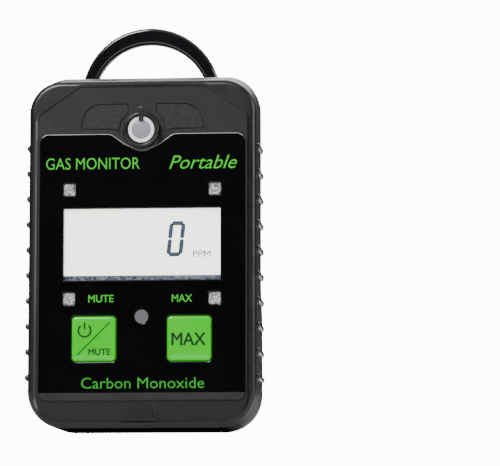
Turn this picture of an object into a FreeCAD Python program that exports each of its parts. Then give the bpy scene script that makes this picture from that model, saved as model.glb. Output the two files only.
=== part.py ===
"""Portable single-gas detector, as an assembly of separate pieces.

Frame: +Z up the height of the case, the display faces -Y, +X is to the viewer's right.
The origin is the centre of the flat bottom face, on the plane where the two shells meet.
All lengths are millimetres.
"""
import FreeCAD
import Part
import Sketcher
import math
import os
from FreeCAD import Placement, Rotation, Vector

os.makedirs("parts", exist_ok=True)
doc = FreeCAD.newDocument("GasDetector")

# ---------------------------------------------------------------- driving dimensions

DIMENSIONS = {
    # case
    "CaseHeight": 95.0, "CaseWidth": 60.4, "FrontDepth": 12.4, "FrontTop": 92.1,
    "TopRadius": 8.8, "BottomRadius": 10.0, "EdgeRadius": 1.6, "WallThickness": 1.8,
    "BackDepth": 7.6, "BulgeDepth": 12.4, "BulgeTop": 30.6, "BulgeStart": 38.6,
    "CrownDepth": 2.7, "ShoulderDepth": 6.4, "ShoulderHeight": 90.1, "NeckHeight": 84.0,
    "CavityTop": 87.2, "FrontCavityTop": 90.0, "CavityInset": 0.4, "BatteryBayTop": 27.5,
    "BatteryBayHalf": 21.0, "BatteryBayCorner": 3.0, "SeamGap": 0.3, "BackFillet": 4.0,
    "Overlap": 0.2,
    # grip ribs
    "RibFirst": 13.6, "RibPitch": 6.8, "RibTall": 1.6, "RibProud": 1.0, "RibEdge": 0.65,
    "RibRoot": 0.6,
    "RibFrontTop": 9.4, "RibFrontBottom": 10.6, "RibRearTop": 1.9, "RibRearBottom": 5.3,
    # recessed front panel
    "PanelDepth": 0.8, "PanelHalf": 27.9, "PanelTop": 90.8, "PanelBottom": 2.1,
    "PanelShoulderHalf": 16.8, "PanelShoulderHeight": 83.1, "PanelCorner": 6.2,
    "PanelShoulderCorner": 3.0, "LipTabFoot": 1.9, "LipTabTop": 5.8,
    "LipTabFootHalf": 4.6, "LipTabHalf": 2.9, "LipTabWaist": 3.0, "LipTabCorner": 2.3,
    "PanelChamfer": 0.55, "PanelSkin": 1.0,
    "GrooveWide": 0.3, "GrooveDeep": 0.3,
    # glossy overlay
    "OverlayHalf": 27.3, "OverlayTop": 78.1, "OverlayBottom": 7.3, "OverlayThick": 0.45,
    "OverlayRamp": 2.1, "OverlayFootCorner": 2.1, "OverlayCorner": 2.3, "DipHalf": 8.3,
    "DipRadius": 5.15,
    # gas port and its cap
    "PortHeight": 78.8, "PortRadius": 5.12, "CapRadius": 4.65, "CapFlange": 5.05,
    "CapRecess": 4.0, "CapProud": 2.2, "PointerProud": 2.6, "PointerWide": 1.3,
    "PointerInner": 2.3, "PointerOuter": 6.0, "BezelOuter": 3.45, "BezelInner": 2.55,
    "FilterRadius": 2.5, "SensorRadius": 7.6, "SensorLong": 13.0, "SealRadius": 3.9,
    "SealThick": 1.0, "WellDeep": 0.6, "CapEdge": 0.3, "RestGap": 0.3, "PointerStart": 0.8,
    "BezelThick": 0.5, "FilterThick": 0.35,
    # display
    "ScreenHalf": 20.8, "ScreenBottom": 39.1, "ScreenTop": 58.1, "GlassThick": 1.5,
    "BacklightThick": 1.0, "StripTall": 1.4, "BoardFront": 7.6, "BoardThick": 1.2,
    "BoardHalf": 21.0, "BoardBottom": 6.0, "BoardTop": 89.0,
    # alarm lights
    "LightAcross": 19.3, "LightHigh": 63.2, "LightLow": 34.2, "LightWide": 3.3,
    "LightCorner": 0.6, "LampWide": 2.4,
    # keys
    "KeyAcross": 12.6, "KeyHeight": 23.6, "KeyWide": 11.5, "KeyTall": 11.7, "KeyGap": 0.25,
    "KeyCorner": 1.0, "KeyProud": 0.3, "KeyFlange": 0.7, "KeyEdge": 0.6, "SwitchWide": 6.0,
    "SwitchThick": 1.0, "SheetThick": 0.25, "SheetHalf": 20.0, "SheetDrop": 7.4,
    # sounder
    "VentHeight": 29.4, "VentRadius": 1.8, "SounderRadius": 5.4, "SounderThick": 2.6,
    # battery and motor
    "CellRadius": 8.4, "CellLong": 34.0, "CellDepth": 2.3, "CellHeight": 14.8,
    "ContactThick": 0.5, "MotorRadius": 3.4, "MotorLong": 12.0, "MotorHeight": 41.0,
    # case screws
    "ScrewAcross": 24.0, "ScrewLow": 13.0, "ScrewHigh": 82.0, "ScrewRadius": 1.0,
    "ScrewHead": 2.1, "BossRadius": 2.7, "FrontBossRadius": 2.6, "ScrewSeat": 3.4,
    "ScrewReach": 8.0, "GasketWide": 0.8, "GasketDeep": 0.7,
    # belt clip
    "ClipScrewHeight": 59.5, "ClipGap": 0.4, "SheetMetal": 1.2, "ClipHalf": 9.1,
    "ClipBottom": 43.7, "EarBottom": 66.2, "EarTop": 77.3, "EarRadius": 4.5,
    "PivotDepth": 17.0, "PivotHeight": 73.5, "PinRadius": 1.8, "PinBore": 1.2,
    "PinFit": 0.07, "PinHeadThick": 0.45, "PinHeadProud": 0.6,
    "BarHeight": 79.0, "BarRadius": 1.2, "SleeveBore": 1.27, "SleeveHalf": 6.0,
    "LipReach": 3.8, "LipTall": 1.9, "ClipScrewRadius": 1.5, "ClipHeadRadius": 2.3,
    "InsertRadius": 2.6, "JawHalf": 6.5, "LeverHalf": 7.7, "TabHalf": 4.6,
    "SpringRadius": 2.55, "SpringWire": 0.8, "SpringPitch": 1.15, "SpringLong": 8.05,
    # hanging ring
    "RingOuter": 18.9, "RingInner": 15.84, "RingRise": 12.2, "RingInnerRise": 10.66,
    "RingThick": 3.6,
    "RingLean": 5.0, "RingEdge": 0.95, "BarHalf": 12.6,
}


class Size:
    """A length taken from the sheet, or arithmetic on such lengths, with its expression."""

    def __init__(self, value, text):
        self.value = value
        self.text = text

    def join(self, other, symbol, value, swapped=False):
        """Return the Size of this length and another joined by an arithmetic symbol."""
        left, right = (other, self) if swapped else (self, other)
        return Size(value, f"({text_of(left)} {symbol} {text_of(right)})")

    def __add__(self, other):
        return self.join(other, "+", self.value + number(other))

    def __sub__(self, other):
        return self.join(other, "-", self.value - number(other))

    def __mul__(self, other):
        return self.join(other, "*", self.value * number(other))

    def __truediv__(self, other):
        return self.join(other, "/", self.value / number(other))

    def __radd__(self, other):
        return self.join(other, "+", number(other) + self.value, swapped=True)

    def __rsub__(self, other):
        return self.join(other, "-", number(other) - self.value, swapped=True)

    def __rmul__(self, other):
        return self.join(other, "*", number(other) * self.value, swapped=True)

    def __neg__(self):
        return Size(-self.value, f"(0 - {self.text})")


def number(value):
    """Return a plain number for a Size or a number."""
    return value.value if isinstance(value, Size) else float(value)


def text_of(value):
    """Return the expression text of a Size or a number."""
    return value.text if isinstance(value, Size) else repr(float(value))


class Sheet:
    """The spreadsheet of driving dimensions; each one is read as an attribute."""

    def __init__(self, values):
        self.cells = doc.addObject("Spreadsheet::Sheet", "Sizes")
        for row, (alias, value) in enumerate(values.items(), start=1):
            self.cells.set(f"A{row}", alias)
            self.cells.set(f"B{row}", str(value))
            self.cells.setAlias(f"B{row}", alias)
        doc.recompute()

    def __getattr__(self, alias):
        return Size(float(self.cells.get(alias)), f"Sizes.{alias}")


s = Sheet(DIMENSIONS)
PIECES = []

# ---------------------------------------------------------------- modelling helpers


def bind(thing, path, value):
    """Set a property path of a document object from a Size, by expression."""
    if isinstance(value, Size):
        thing.setExpression(path, value.text)


def add_body(label, x=0.0, y=0.0, z=0.0):
    """Start a sub-part as a PartDesign body placed at a point."""
    body = doc.addObject("PartDesign::Body", label)
    body.Label = label
    body.Placement = Placement(Vector(number(x), number(y), number(z)), Rotation())
    for axis, value in zip("xyz", (x, y, z)):
        bind(body, f".Placement.Base.{axis}", value)
    PIECES.append(body)
    return body


def add_sketch(body, role, offset=0.0):
    """Attach a sketch to one of the body's own origin planes, moved along its normal.

    On XZ_Plane the sketch axes are X and Z and a positive offset goes towards the front (-Y);
    on YZ_Plane they are Y and Z and it goes towards +X; on XY_Plane X and Y, towards +Z.
    """
    plane = next(item for item in body.Origin.OriginFeatures if item.Role == role)
    sketch = body.newObject("Sketcher::SketchObject", f"{body.Name}_sketch")
    sketch.AttachmentSupport = (plane, [""])
    sketch.MapMode = "FlatFace"
    sketch.AttachmentOffset = Placement(Vector(0, 0, number(offset)), Rotation())
    bind(sketch, ".AttachmentOffset.Base.z", offset)
    return sketch


def hold(sketch, kind, geometry, point, value):
    """Hold one coordinate of a sketch point at a length."""
    if not isinstance(value, Size) and value == 0:
        axis = -2 if kind == "DistanceX" else -1
        sketch.addConstraint(Sketcher.Constraint("PointOnObject", geometry, point, axis))
        return
    index = sketch.addConstraint(Sketcher.Constraint(kind, geometry, point, number(value)))
    bind(sketch, f"Constraints[{index}]", value)


def polygon(sketch, points):
    """Draw a closed outline of straight lines, each corner held by its coordinates."""
    first = sketch.GeometryCount
    corners = [Vector(number(u), number(v), 0) for u, v in points]
    count = len(corners)
    for i in range(count):
        sketch.addGeometry(Part.LineSegment(corners[i], corners[(i + 1) % count]), False)
    for i in range(count):
        following = first + (i + 1) % count
        sketch.addConstraint(Sketcher.Constraint("Coincident", first + i, 2, following, 1))
    for i, (u, v) in enumerate(points):
        hold(sketch, "DistanceX", first + i, 1, u)
        hold(sketch, "DistanceY", first + i, 1, v)


def rectangle(sketch, left, right, low, high):
    """Draw a rectangle between four coordinates."""
    polygon(sketch, [(left, low), (right, low), (right, high), (left, high)])


def circle(sketch, radius, u=0.0, v=0.0):
    """Draw a circle of a given radius about a held centre."""
    centre = Vector(number(u), number(v), 0)
    index = sketch.addGeometry(Part.Circle(centre, Vector(0, 0, 1), number(radius)), False)
    hold(sketch, "DistanceX", index, 3, u)
    hold(sketch, "DistanceY", index, 3, v)
    constraint = sketch.addConstraint(Sketcher.Constraint("Radius", index, number(radius)))
    bind(sketch, f"Constraints[{constraint}]", radius)


def rounded(sketch, left, right, low, high, lower_radius, upper_radius=None):
    """Draw a rectangle whose lower and upper corners are rounded by their own radii."""
    upper_radius = lower_radius if upper_radius is None else upper_radius
    x0, x1, z0, z1 = (number(value) for value in (left, right, low, high))
    r, q = number(lower_radius), number(upper_radius)
    corners = [
        ((x1 - r, z0 + r), r, 270, 360), ((x1 - q, z1 - q), q, 0, 90),
        ((x0 + q, z1 - q), q, 90, 180), ((x0 + r, z0 + r), r, 180, 270),
    ]
    starts = [(x0 + r, z0), (x1, z0 + r), (x1 - q, z1), (x0, z1 - q)]
    ends = [(x1 - r, z0), (x1, z1 - q), (x0 + q, z1), (x0, z0 + r)]
    first = sketch.GeometryCount
    for begin, finish, (centre, radius, start, stop) in zip(starts, ends, corners):
        sketch.addGeometry(Part.LineSegment(Vector(*begin, 0), Vector(*finish, 0)), False)
        round_edge = Part.Circle(Vector(*centre, 0), Vector(0, 0, 1), radius)
        arc = Part.ArcOfCircle(round_edge, math.radians(start), math.radians(stop))
        sketch.addGeometry(arc, False)
    for i in range(4):
        line, arc, following = first + 2 * i, first + 2 * i + 1, first + (2 * i + 2) % 8
        sketch.addConstraint(Sketcher.Constraint("Tangent", line, 2, arc, 1))
        sketch.addConstraint(Sketcher.Constraint("Tangent", arc, 2, following, 1))
    for line, kind in ((0, "Horizontal"), (2, "Vertical"), (4, "Horizontal"), (6, "Vertical")):
        sketch.addConstraint(Sketcher.Constraint(kind, first + line))
    hold(sketch, "DistanceY", first, 1, low)
    hold(sketch, "DistanceX", first + 2, 1, right)
    hold(sketch, "DistanceY", first + 4, 1, high)
    hold(sketch, "DistanceX", first + 6, 1, left)
    radii = (lower_radius, upper_radius, upper_radius, lower_radius)
    for arc, radius in zip((1, 3, 5, 7), radii):
        constraint = Sketcher.Constraint("Radius", first + arc, number(radius))
        bind(sketch, f"Constraints[{sketch.addConstraint(constraint)}]", radius)


def path(sketch, points):
    """Draw a closed outline; a point with a third value is rounded to that radius.

    The outline is worked out from the sheet's values and then held in place.
    """
    count = len(points)
    first = sketch.GeometryCount
    begins, ends, arcs = [], [], []
    for i, point in enumerate(points):
        here = Vector(number(point[0]), number(point[1]), 0)
        back = Vector(*(number(value) for value in points[i - 1][:2]), 0) - here
        ahead = Vector(*(number(value) for value in points[(i + 1) % count][:2]), 0) - here
        radius = number(point[2]) if len(point) > 2 else 0.0
        half = back.getAngle(ahead) / 2
        run = radius / math.tan(half) if radius else 0.0
        ends.append(here + back.normalize() * run)
        begins.append(here + ahead.normalize() * run)
        middle = (back + ahead).normalize() * (radius / math.sin(half) - radius)
        arcs.append((ends[-1], here + middle, begins[-1]) if radius else None)
    for i in range(count):
        if arcs[i]:
            sketch.addGeometry(Part.Arc(*arcs[i]), False)
        if begins[i].distanceToPoint(ends[(i + 1) % count]) > 1e-6:
            sketch.addGeometry(Part.LineSegment(begins[i], ends[(i + 1) % count]), False)
    for i in range(first, sketch.GeometryCount):
        sketch.addConstraint(Sketcher.Constraint("Block", i))


def feature(body, kind, profile, length, reverse=False, middle=False):
    """Pad or pocket a sketch by a length; the result must change the body's volume."""
    before = body.Shape.Volume if body.Tip else 0.0
    step = body.newObject(f"PartDesign::{kind}", f"{body.Name}_{kind.lower()}")
    step.Profile = profile
    step.Length = number(length)
    bind(step, "Length", length)
    step.Reversed = reverse
    if middle:
        step.SideType = "Symmetric"
    profile.Visibility = False
    doc.recompute()
    change = body.Shape.Volume - before
    if (kind == "Pad") != (change > 0) or abs(change) < 1e-6:
        raise RuntimeError(f"{body.Label}: {kind} changed the volume by {change:.4f}")
    return step


def pad(body, profile, length, reverse=False, middle=False):
    """Add material along the sketch normal, or both ways when middle is true."""
    return feature(body, "Pad", profile, length, reverse, middle)


def pocket(body, profile, length, reverse=False, middle=False):
    """Cut material against the sketch normal, or both ways when middle is true."""
    return feature(body, "Pocket", profile, length, reverse, middle)


def dress(body, kind, radius, chosen):
    """Fillet or chamfer the edges of the body for which chosen(edge) is true."""
    names = [f"Edge{i}" for i, edge in enumerate(body.Shape.Edges, start=1) if chosen(edge)]
    if not names:
        raise RuntimeError(f"{body.Label}: no edge to {kind.lower()}")
    step = body.newObject(f"PartDesign::{kind}", f"{body.Name}_{kind.lower()}")
    step.Base = (body.Tip if body.Tip != step else step.BaseFeature, names)
    path_name = "Radius" if kind == "Fillet" else "Size"
    setattr(step, path_name, number(radius))
    bind(step, path_name, radius)
    doc.recompute()
    return step


def flat_at(axis, place, tolerance=0.01):
    """Return a test that is true for an edge lying in the plane axis = place."""
    def chosen(edge):
        box = edge.BoundBox
        low, high = getattr(box, f"{axis}Min"), getattr(box, f"{axis}Max")
        return abs(low - number(place)) < tolerance and abs(high - number(place)) < tolerance
    return chosen


def slab(label, left, right, front, back, low, high, corner=None):
    """Make a flat plate between two depths, with rounded corners where one is given."""
    body = add_body(label)
    sketch = add_sketch(body, "XZ_Plane", -back)
    if corner is None:
        rectangle(sketch, left, right, low, high)
    else:
        rounded(sketch, left, right, low, high, corner)
    pad(body, sketch, back - front)
    return body


def disc(label, radius, front, back, height, bore=None, across=0.0):
    """Make a round piece about an axis along Y, hollow where a bore is given."""
    body = add_body(label, across, 0.0, height)
    sketch = add_sketch(body, "XZ_Plane", -back)
    circle(sketch, radius)
    if bore is not None:
        circle(sketch, bore)
    pad(body, sketch, back - front)
    return body


# ---------------------------------------------------------------- places worked out once

half = s.CaseWidth / 2
panel = -(s.FrontDepth - s.PanelDepth)          # floor of the recessed panel
skin = panel + s.PanelSkin                      # inner face of the panel
overlay_face = panel - s.OverlayThick
board_front = -s.BoardFront
board_back = board_front + s.BoardThick
clip_face = s.BackDepth + s.ClipGap             # side of the clip plate that faces the case
clip_back = clip_face + s.SheetMetal
bar_depth = clip_face + s.SleeveBore + s.SheetMetal
SIDES = (("right", 1), ("left", -1))

# ---------------------------------------------------------------- shells


def rib_outline(sketch, front_from, front_to, front_end):
    """Draw the ten grip ribs; each end moves evenly from the lowest rib to the highest."""
    for i in range(10):
        height = s.RibFirst + i * s.RibPitch
        end = front_from + (front_to - front_from) * (i / 9)
        low, high = height - s.RibTall / 2, height + s.RibTall / 2
        near, far = (end, -front_end) if number(end) < 0 else (front_end, end)
        tip = number(s.RibTall) * 0.49
        points = [(near, low), (far, low), (far, high), (near, high)]
        rounded_end = (0, 3) if number(end) < 0 else (1, 2)
        path(sketch, [point + (tip,) if k in rounded_end else point
                      for k, point in enumerate(points)])


def add_ribs(body, low_end, high_end, seam_gap):
    """Add the row of ribs on both sides of a shell and round their outer edges."""
    root = half - s.RibRoot
    for _, side in SIDES:
        sketch = add_sketch(body, "YZ_Plane", side * root)
        rib_outline(sketch, low_end, high_end, seam_gap)
        pad(body, sketch, s.RibProud + s.RibRoot, reverse=side < 0)
    outer = number(half + s.RibProud)
    right, left = flat_at("X", outer), flat_at("X", -outer)
    dress(body, "Fillet", s.RibEdge, lambda edge: right(edge) or left(edge))


def port_shape(side, inward):
    """Return the outline of the shape beside the gas port, drawn in by a distance."""
    outside = [(-3.5, 84.0, 0.0), (-3.7, 86.2, 0.3), (-15.4, 86.1, 5.2), (-16.5, 79.4, 0.3),
               (-8.3, 79.2, 0.0), (-6.2, 78.7, 0.0), (-5.4, 81.6, 0.0)]
    centre = (-9.0, 82.4)
    outline = []
    for u, v, radius in outside:
        share = inward * 1.3 / math.hypot(u - centre[0], v - centre[1])
        outline.append((side * (u + (centre[0] - u) * share), v + (centre[1] - v) * share,
                        radius))
    return outline


def front_shell():
    """The front half of the case with its recessed panel and every opening."""
    body = add_body("front_shell")
    rear = add_sketch(body, "XZ_Plane")
    rounded(rear, -half, half, 0.0, s.CaseHeight, s.BottomRadius, s.TopRadius)
    front = add_sketch(body, "XZ_Plane", s.FrontDepth)
    rounded(front, -half, half, 0.0, s.FrontTop, s.BottomRadius, s.TopRadius)
    loft = body.newObject("PartDesign::AdditiveLoft", "front_shell_loft")
    loft.Profile = rear
    loft.Sections = [front]
    doc.recompute()
    dress(body, "Fillet", s.EdgeRadius, flat_at("Y", -s.FrontDepth))
    add_ribs(body, -s.RibFrontBottom, -s.RibFrontTop, 0.15)

    cavity = add_sketch(body, "XZ_Plane")
    wall = s.WallThickness
    edge = half - wall - s.CavityInset
    rounded(cavity, -edge, edge, wall + s.CavityInset, s.FrontCavityTop,
            s.BottomRadius - wall, s.TopRadius - wall)
    pocket(body, cavity, -skin, reverse=True)

    recess = add_sketch(body, "XZ_Plane", s.FrontDepth)
    corner, shoulder = s.PanelCorner, s.PanelShoulderCorner
    path(recess, [
        (-s.PanelHalf, s.PanelBottom, corner), (s.PanelHalf, s.PanelBottom, corner),
        (s.PanelHalf, s.PanelShoulderHeight, shoulder),
        (s.PanelShoulderHalf, s.PanelTop, shoulder),
        (-s.PanelShoulderHalf, s.PanelTop, shoulder),
        (-s.PanelHalf, s.PanelShoulderHeight, shoulder),
    ])
    pocket(body, recess, s.PanelDepth)
    dress(body, "Chamfer", s.PanelChamfer, lambda edge: flat_at("Y", -s.FrontDepth)(edge)
          and edge.BoundBox.XMin > number(-s.PanelHalf) - 0.1
          and edge.BoundBox.XMax < number(s.PanelHalf) + 0.1
          and edge.BoundBox.ZMin > number(s.PanelBottom) - 0.1)

    tab = add_sketch(body, "XZ_Plane", -panel)
    right = [(s.LipTabFootHalf, s.LipTabFoot), (s.LipTabHalf, s.LipTabWaist, 1.6),
             (s.LipTabHalf, s.LipTabTop, s.LipTabCorner)]
    left = [(-point[0],) + point[1:] for point in reversed(right)]
    path(tab, right + left)
    pad(body, tab, s.PanelDepth)

    openings = add_sketch(body, "XZ_Plane", -panel)
    circle(openings, s.PortRadius, 0.0, s.PortHeight)
    circle(openings, s.VentRadius, 0.0, s.VentHeight)
    rectangle(openings, -s.ScreenHalf, s.ScreenHalf, s.ScreenBottom, s.ScreenTop)
    for x, z in light_places():
        reach = s.LightWide / 2
        rounded(openings, x - reach, x + reach, z - reach, z + reach, s.LightCorner)
    for _, side in SIDES:
        reach, rise = s.KeyWide / 2 + s.KeyGap, s.KeyTall / 2 + s.KeyGap
        x = side * s.KeyAcross
        rounded(openings, x - reach, x + reach, s.KeyHeight - rise, s.KeyHeight + rise,
                s.KeyCorner + s.KeyGap)
    pocket(body, openings, s.PanelSkin + 0.5)

    sunk = add_sketch(body, "XZ_Plane", -panel)
    kept = add_sketch(body, "XZ_Plane", -panel - s.GrooveDeep)
    for _, side in SIDES:
        path(sunk, port_shape(side, 0.0))
        path(kept, port_shape(side, number(s.GrooveWide)))
    pocket(body, sunk, s.GrooveDeep)
    pad(body, kept, s.GrooveDeep)

    bosses = add_sketch(body, "XZ_Plane")
    for x, z in screw_places():
        circle(bosses, s.FrontBossRadius, x, z)
        circle(bosses, s.ScrewRadius + 0.05, x, z)
    pad(body, bosses, -skin + s.Overlap)
    return body


def rear_shell():
    """The rear half of the case, deeper at the bottom where the battery lies."""
    body = add_body("rear_shell")
    seam = s.SeamGap
    outline = add_sketch(body, "XZ_Plane", -seam)
    rounded(outline, -half, half, 0.0, s.CaseHeight, s.BottomRadius, s.TopRadius)
    pad(body, outline, s.BulgeDepth - seam, reverse=True)

    back = add_sketch(body, "YZ_Plane")
    beyond = s.BulgeDepth + 2.0
    polygon(back, [
        (s.CrownDepth, s.CaseHeight + 2.0), (s.CrownDepth, s.CaseHeight),
        (s.ShoulderDepth, s.ShoulderHeight), (s.BackDepth, s.NeckHeight),
        (s.BackDepth, s.BulgeStart), (s.BulgeDepth, s.BulgeTop),
        (beyond, s.BulgeTop), (beyond, s.CaseHeight + 2.0),
    ])
    pocket(body, back, s.CaseWidth + 2.0, middle=True)

    def across_back(edge):
        """True for the edges that cross the back from side to side, below the crown."""
        box = edge.BoundBox
        straight = box.YLength < 0.01 and box.ZLength < 0.01 and box.XLength > 30
        return straight and 29.0 < box.ZMin < 94.9
    dress(body, "Fillet", s.BackFillet, across_back)

    def outer_loop(edge):
        """True for the edges between the back and the side walls and round corners."""
        box = edge.BoundBox
        if box.YMin < 0.5 or (box.XLength > 30 and box.ZMin > 29 and box.ZMax < 94.9):
            return False
        return not flat_at("Z", s.CaseHeight)(edge) or box.XLength > 30
    dress(body, "Fillet", s.EdgeRadius, outer_loop)
    add_ribs(body, s.RibRearBottom, s.RibRearTop, s.SeamGap + 0.1)

    land = add_sketch(body, "XZ_Plane", -seam)
    rounded(land, seam - half, half - seam, seam, s.CaseHeight - seam, s.BottomRadius - seam,
            s.TopRadius - seam)
    pad(body, land, seam)

    wall = s.WallThickness
    cavity = add_sketch(body, "XZ_Plane")
    edge = half - wall - s.CavityInset
    rounded(cavity, -edge, edge, wall + s.CavityInset, s.CavityTop, s.BottomRadius - wall,
            s.TopRadius - wall)
    pocket(body, cavity, s.BackDepth - wall)
    bay = add_sketch(body, "XZ_Plane")
    rounded(bay, -s.BatteryBayHalf, s.BatteryBayHalf, wall + 2.0, s.BatteryBayTop,
            s.BatteryBayCorner)
    pocket(body, bay, s.BulgeDepth - wall + 0.3)

    bosses = add_sketch(body, "XZ_Plane")
    for x, z in screw_places():
        circle(bosses, s.BossRadius, x, z)
    pad(body, bosses, s.BackDepth - wall + s.Overlap, reverse=True)
    insert_boss = add_sketch(body, "XZ_Plane", -1.6)
    circle(insert_boss, s.InsertRadius + 1.5, 0.0, s.ClipScrewHeight)
    pad(body, insert_boss, s.BackDepth - wall - 1.4, reverse=True)

    clearance = add_sketch(body, "XZ_Plane")
    for x, z in screw_places():
        circle(clearance, s.ScrewRadius + 0.2, x, z)
    pocket(body, clearance, s.ScrewSeat + 0.5)
    seats = add_sketch(body, "XZ_Plane", -s.ScrewSeat)
    for x, z in screw_places():
        circle(seats, s.ScrewHead + 0.2, x, z)
    pocket(body, seats, s.BulgeDepth)
    insert_hole = add_sketch(body, "XZ_Plane", -2.6)
    circle(insert_hole, s.InsertRadius, 0.0, s.ClipScrewHeight)
    pocket(body, insert_hole, s.BackDepth)
    return body


def screw_places():
    """Return the four places of the case screws, as X and Z."""
    return [(side * s.ScrewAcross, z) for _, side in SIDES for z in (s.ScrewLow, s.ScrewHigh)]


def light_places():
    """Return the four places of the alarm lights, as X and Z."""
    return [(side * s.LightAcross, z) for z in (s.LightHigh, s.LightLow) for _, side in SIDES]


def case_gasket():
    """The sealing cord between the shells, inside the wall."""
    body = add_body("case_gasket")
    sketch = add_sketch(body, "XZ_Plane", -s.GasketDeep)
    edge = half - s.WallThickness - s.CavityInset
    low, high = s.WallThickness + s.CavityInset, s.CavityTop
    lower, upper = s.BottomRadius - s.WallThickness, s.TopRadius - s.WallThickness
    wide = s.GasketWide
    rounded(sketch, -edge, edge, low, high, lower, upper)
    rounded(sketch, wide - edge, edge - wide, low + wide, high - wide, lower - wide,
            upper - wide)
    pad(body, sketch, 2 * s.GasketDeep)


def case_screws():
    """Four identical screws that hold the shells together, each a separate solid."""
    screws = []
    for x, z in screw_places():
        parts = []
        for radius, length, start in ((s.ScrewHead, 2.0, s.ScrewSeat),
                                      (s.ScrewRadius, s.ScrewReach + s.ScrewSeat,
                                       -s.ScrewReach)):
            rod = doc.addObject("Part::Cylinder", "screw_rod")
            rod.Placement = Placement(Vector(number(x), number(start), number(z)),
                                      Rotation(Vector(1, 0, 0), -90))
            rod.Radius = number(radius)
            rod.Height = number(length)
            bind(rod, "Radius", radius)
            bind(rod, "Height", length)
            for axis, value in zip("xyz", (x, start, z)):
                bind(rod, f".Placement.Base.{axis}", value)
            parts.append(rod)
        screw = doc.addObject("Part::MultiFuse", "screw")
        screw.Shapes = parts
        slot = doc.addObject("Part::Box", "screw_slot")
        slot.Length, slot.Width, slot.Height = number(2.6 * s.ScrewHead), 0.6, 0.6
        bind(slot, "Length", 2.6 * s.ScrewHead)
        slot.Placement = Placement(Vector(number(x - 1.3 * s.ScrewHead),
                                          number(s.ScrewSeat) + 1.4, number(z) - 0.3),
                                   Rotation())
        cut = doc.addObject("Part::Cut", "slotted_screw")
        cut.Base = screw
        cut.Tool = slot
        screws.append(cut)
    group = doc.addObject("Part::Compound", "case_screws")
    group.Label = "case_screws"
    group.Links = screws
    doc.recompute()
    PIECES.append(group)


# ---------------------------------------------------------------- front pieces


def graphic_overlay():
    """The glossy sheet bonded to the panel, with a dip under the port and a ramp below."""
    body = add_body("graphic_overlay")
    sketch = add_sketch(body, "XZ_Plane", -panel)
    corner, foot = s.OverlayCorner, s.OverlayFootCorner
    dip = s.PortHeight - s.DipRadius
    path(sketch, [
        (-s.OverlayHalf, s.OverlayBottom, foot), (s.OverlayHalf, s.OverlayBottom, foot),
        (s.OverlayHalf, s.OverlayTop, corner), (s.DipHalf, s.OverlayTop, 3.0),
        (4.6, 75.4, 4.0), (0.9, dip, 1.8), (-0.9, dip, 1.8), (-4.6, 75.4, 4.0),
        (-s.DipHalf, s.OverlayTop, 3.0), (-s.OverlayHalf, s.OverlayTop, corner),
    ])
    rectangle(sketch, -s.ScreenHalf, s.ScreenHalf, s.ScreenBottom, s.ScreenTop)
    circle(sketch, s.VentRadius, 0.0, s.VentHeight)
    for x, z in light_places():
        reach = s.LightWide / 2
        rounded(sketch, x - reach, x + reach, z - reach, z + reach, s.LightCorner)
    for _, side in SIDES:
        reach, rise = s.KeyWide / 2 + s.KeyGap, s.KeyTall / 2 + s.KeyGap
        x = side * s.KeyAcross
        rounded(sketch, x - reach, x + reach, s.KeyHeight - rise, s.KeyHeight + rise,
                s.KeyCorner + s.KeyGap)
    pad(body, sketch, s.OverlayThick)
    ramp = add_sketch(body, "YZ_Plane")
    polygon(ramp, [
        (overlay_face, s.OverlayBottom + s.OverlayRamp), (overlay_face - 0.5, s.OverlayBottom),
        (panel - 0.08, s.OverlayBottom - 0.2),
    ])
    pocket(body, ramp, s.CaseWidth, middle=True)


def key(label, side):
    """A square key with a crowned face and a flange that keeps it behind the panel."""
    body = add_body(label, side * s.KeyAcross, 0.0, s.KeyHeight)
    reach, rise = s.KeyWide / 2, s.KeyTall / 2
    rest = skin + s.RestGap
    cap = add_sketch(body, "XZ_Plane", -rest)
    rounded(cap, -reach, reach, -rise, rise, s.KeyCorner)
    top = s.FrontDepth + s.KeyProud
    pad(body, cap, rest + top)
    dress(body, "Fillet", s.KeyEdge, flat_at("Y", -top))
    flange = add_sketch(body, "XZ_Plane", -rest)
    edge = s.KeyFlange
    rounded(flange, -reach - edge, reach + edge, -rise - edge, rise + edge, s.KeyCorner)
    pad(body, flange, s.KeyFlange, reverse=True)


def sensor_cap():
    """The round cap over the gas port with its raised pointer, turning about Y."""
    body = add_body("sensor_cap", 0.0, 0.0, s.PortHeight)
    face = s.FrontDepth + s.CapProud
    flange_face = -panel - s.RestGap
    base = add_sketch(body, "XZ_Plane", -skin - s.Overlap)
    circle(base, s.CapFlange)
    pad(body, base, flange_face + skin + s.Overlap)
    barrel = add_sketch(body, "XZ_Plane", flange_face)
    circle(barrel, s.CapRadius)
    pad(body, barrel, face - flange_face)
    dress(body, "Fillet", s.CapEdge, flat_at("Y", -face))
    well = add_sketch(body, "XZ_Plane", face)
    circle(well, s.CapRecess)
    pocket(body, well, s.WellDeep)
    pointer = add_sketch(body, "XZ_Plane", s.FrontDepth + s.PointerStart)
    reach = s.PointerWide / 2
    path(pointer, [(-reach, s.CapRadius - 0.5), (reach, s.CapRadius - 0.5),
                   (reach, s.PointerOuter, 0.55), (-reach, s.PointerOuter, 0.55)])
    pad(body, pointer, s.PointerProud - s.PointerStart)
    bridge = add_sketch(body, "XZ_Plane", face)
    rectangle(bridge, -reach, reach, s.PointerInner, s.CapRadius)
    pad(body, bridge, s.PointerProud - s.CapProud)


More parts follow.
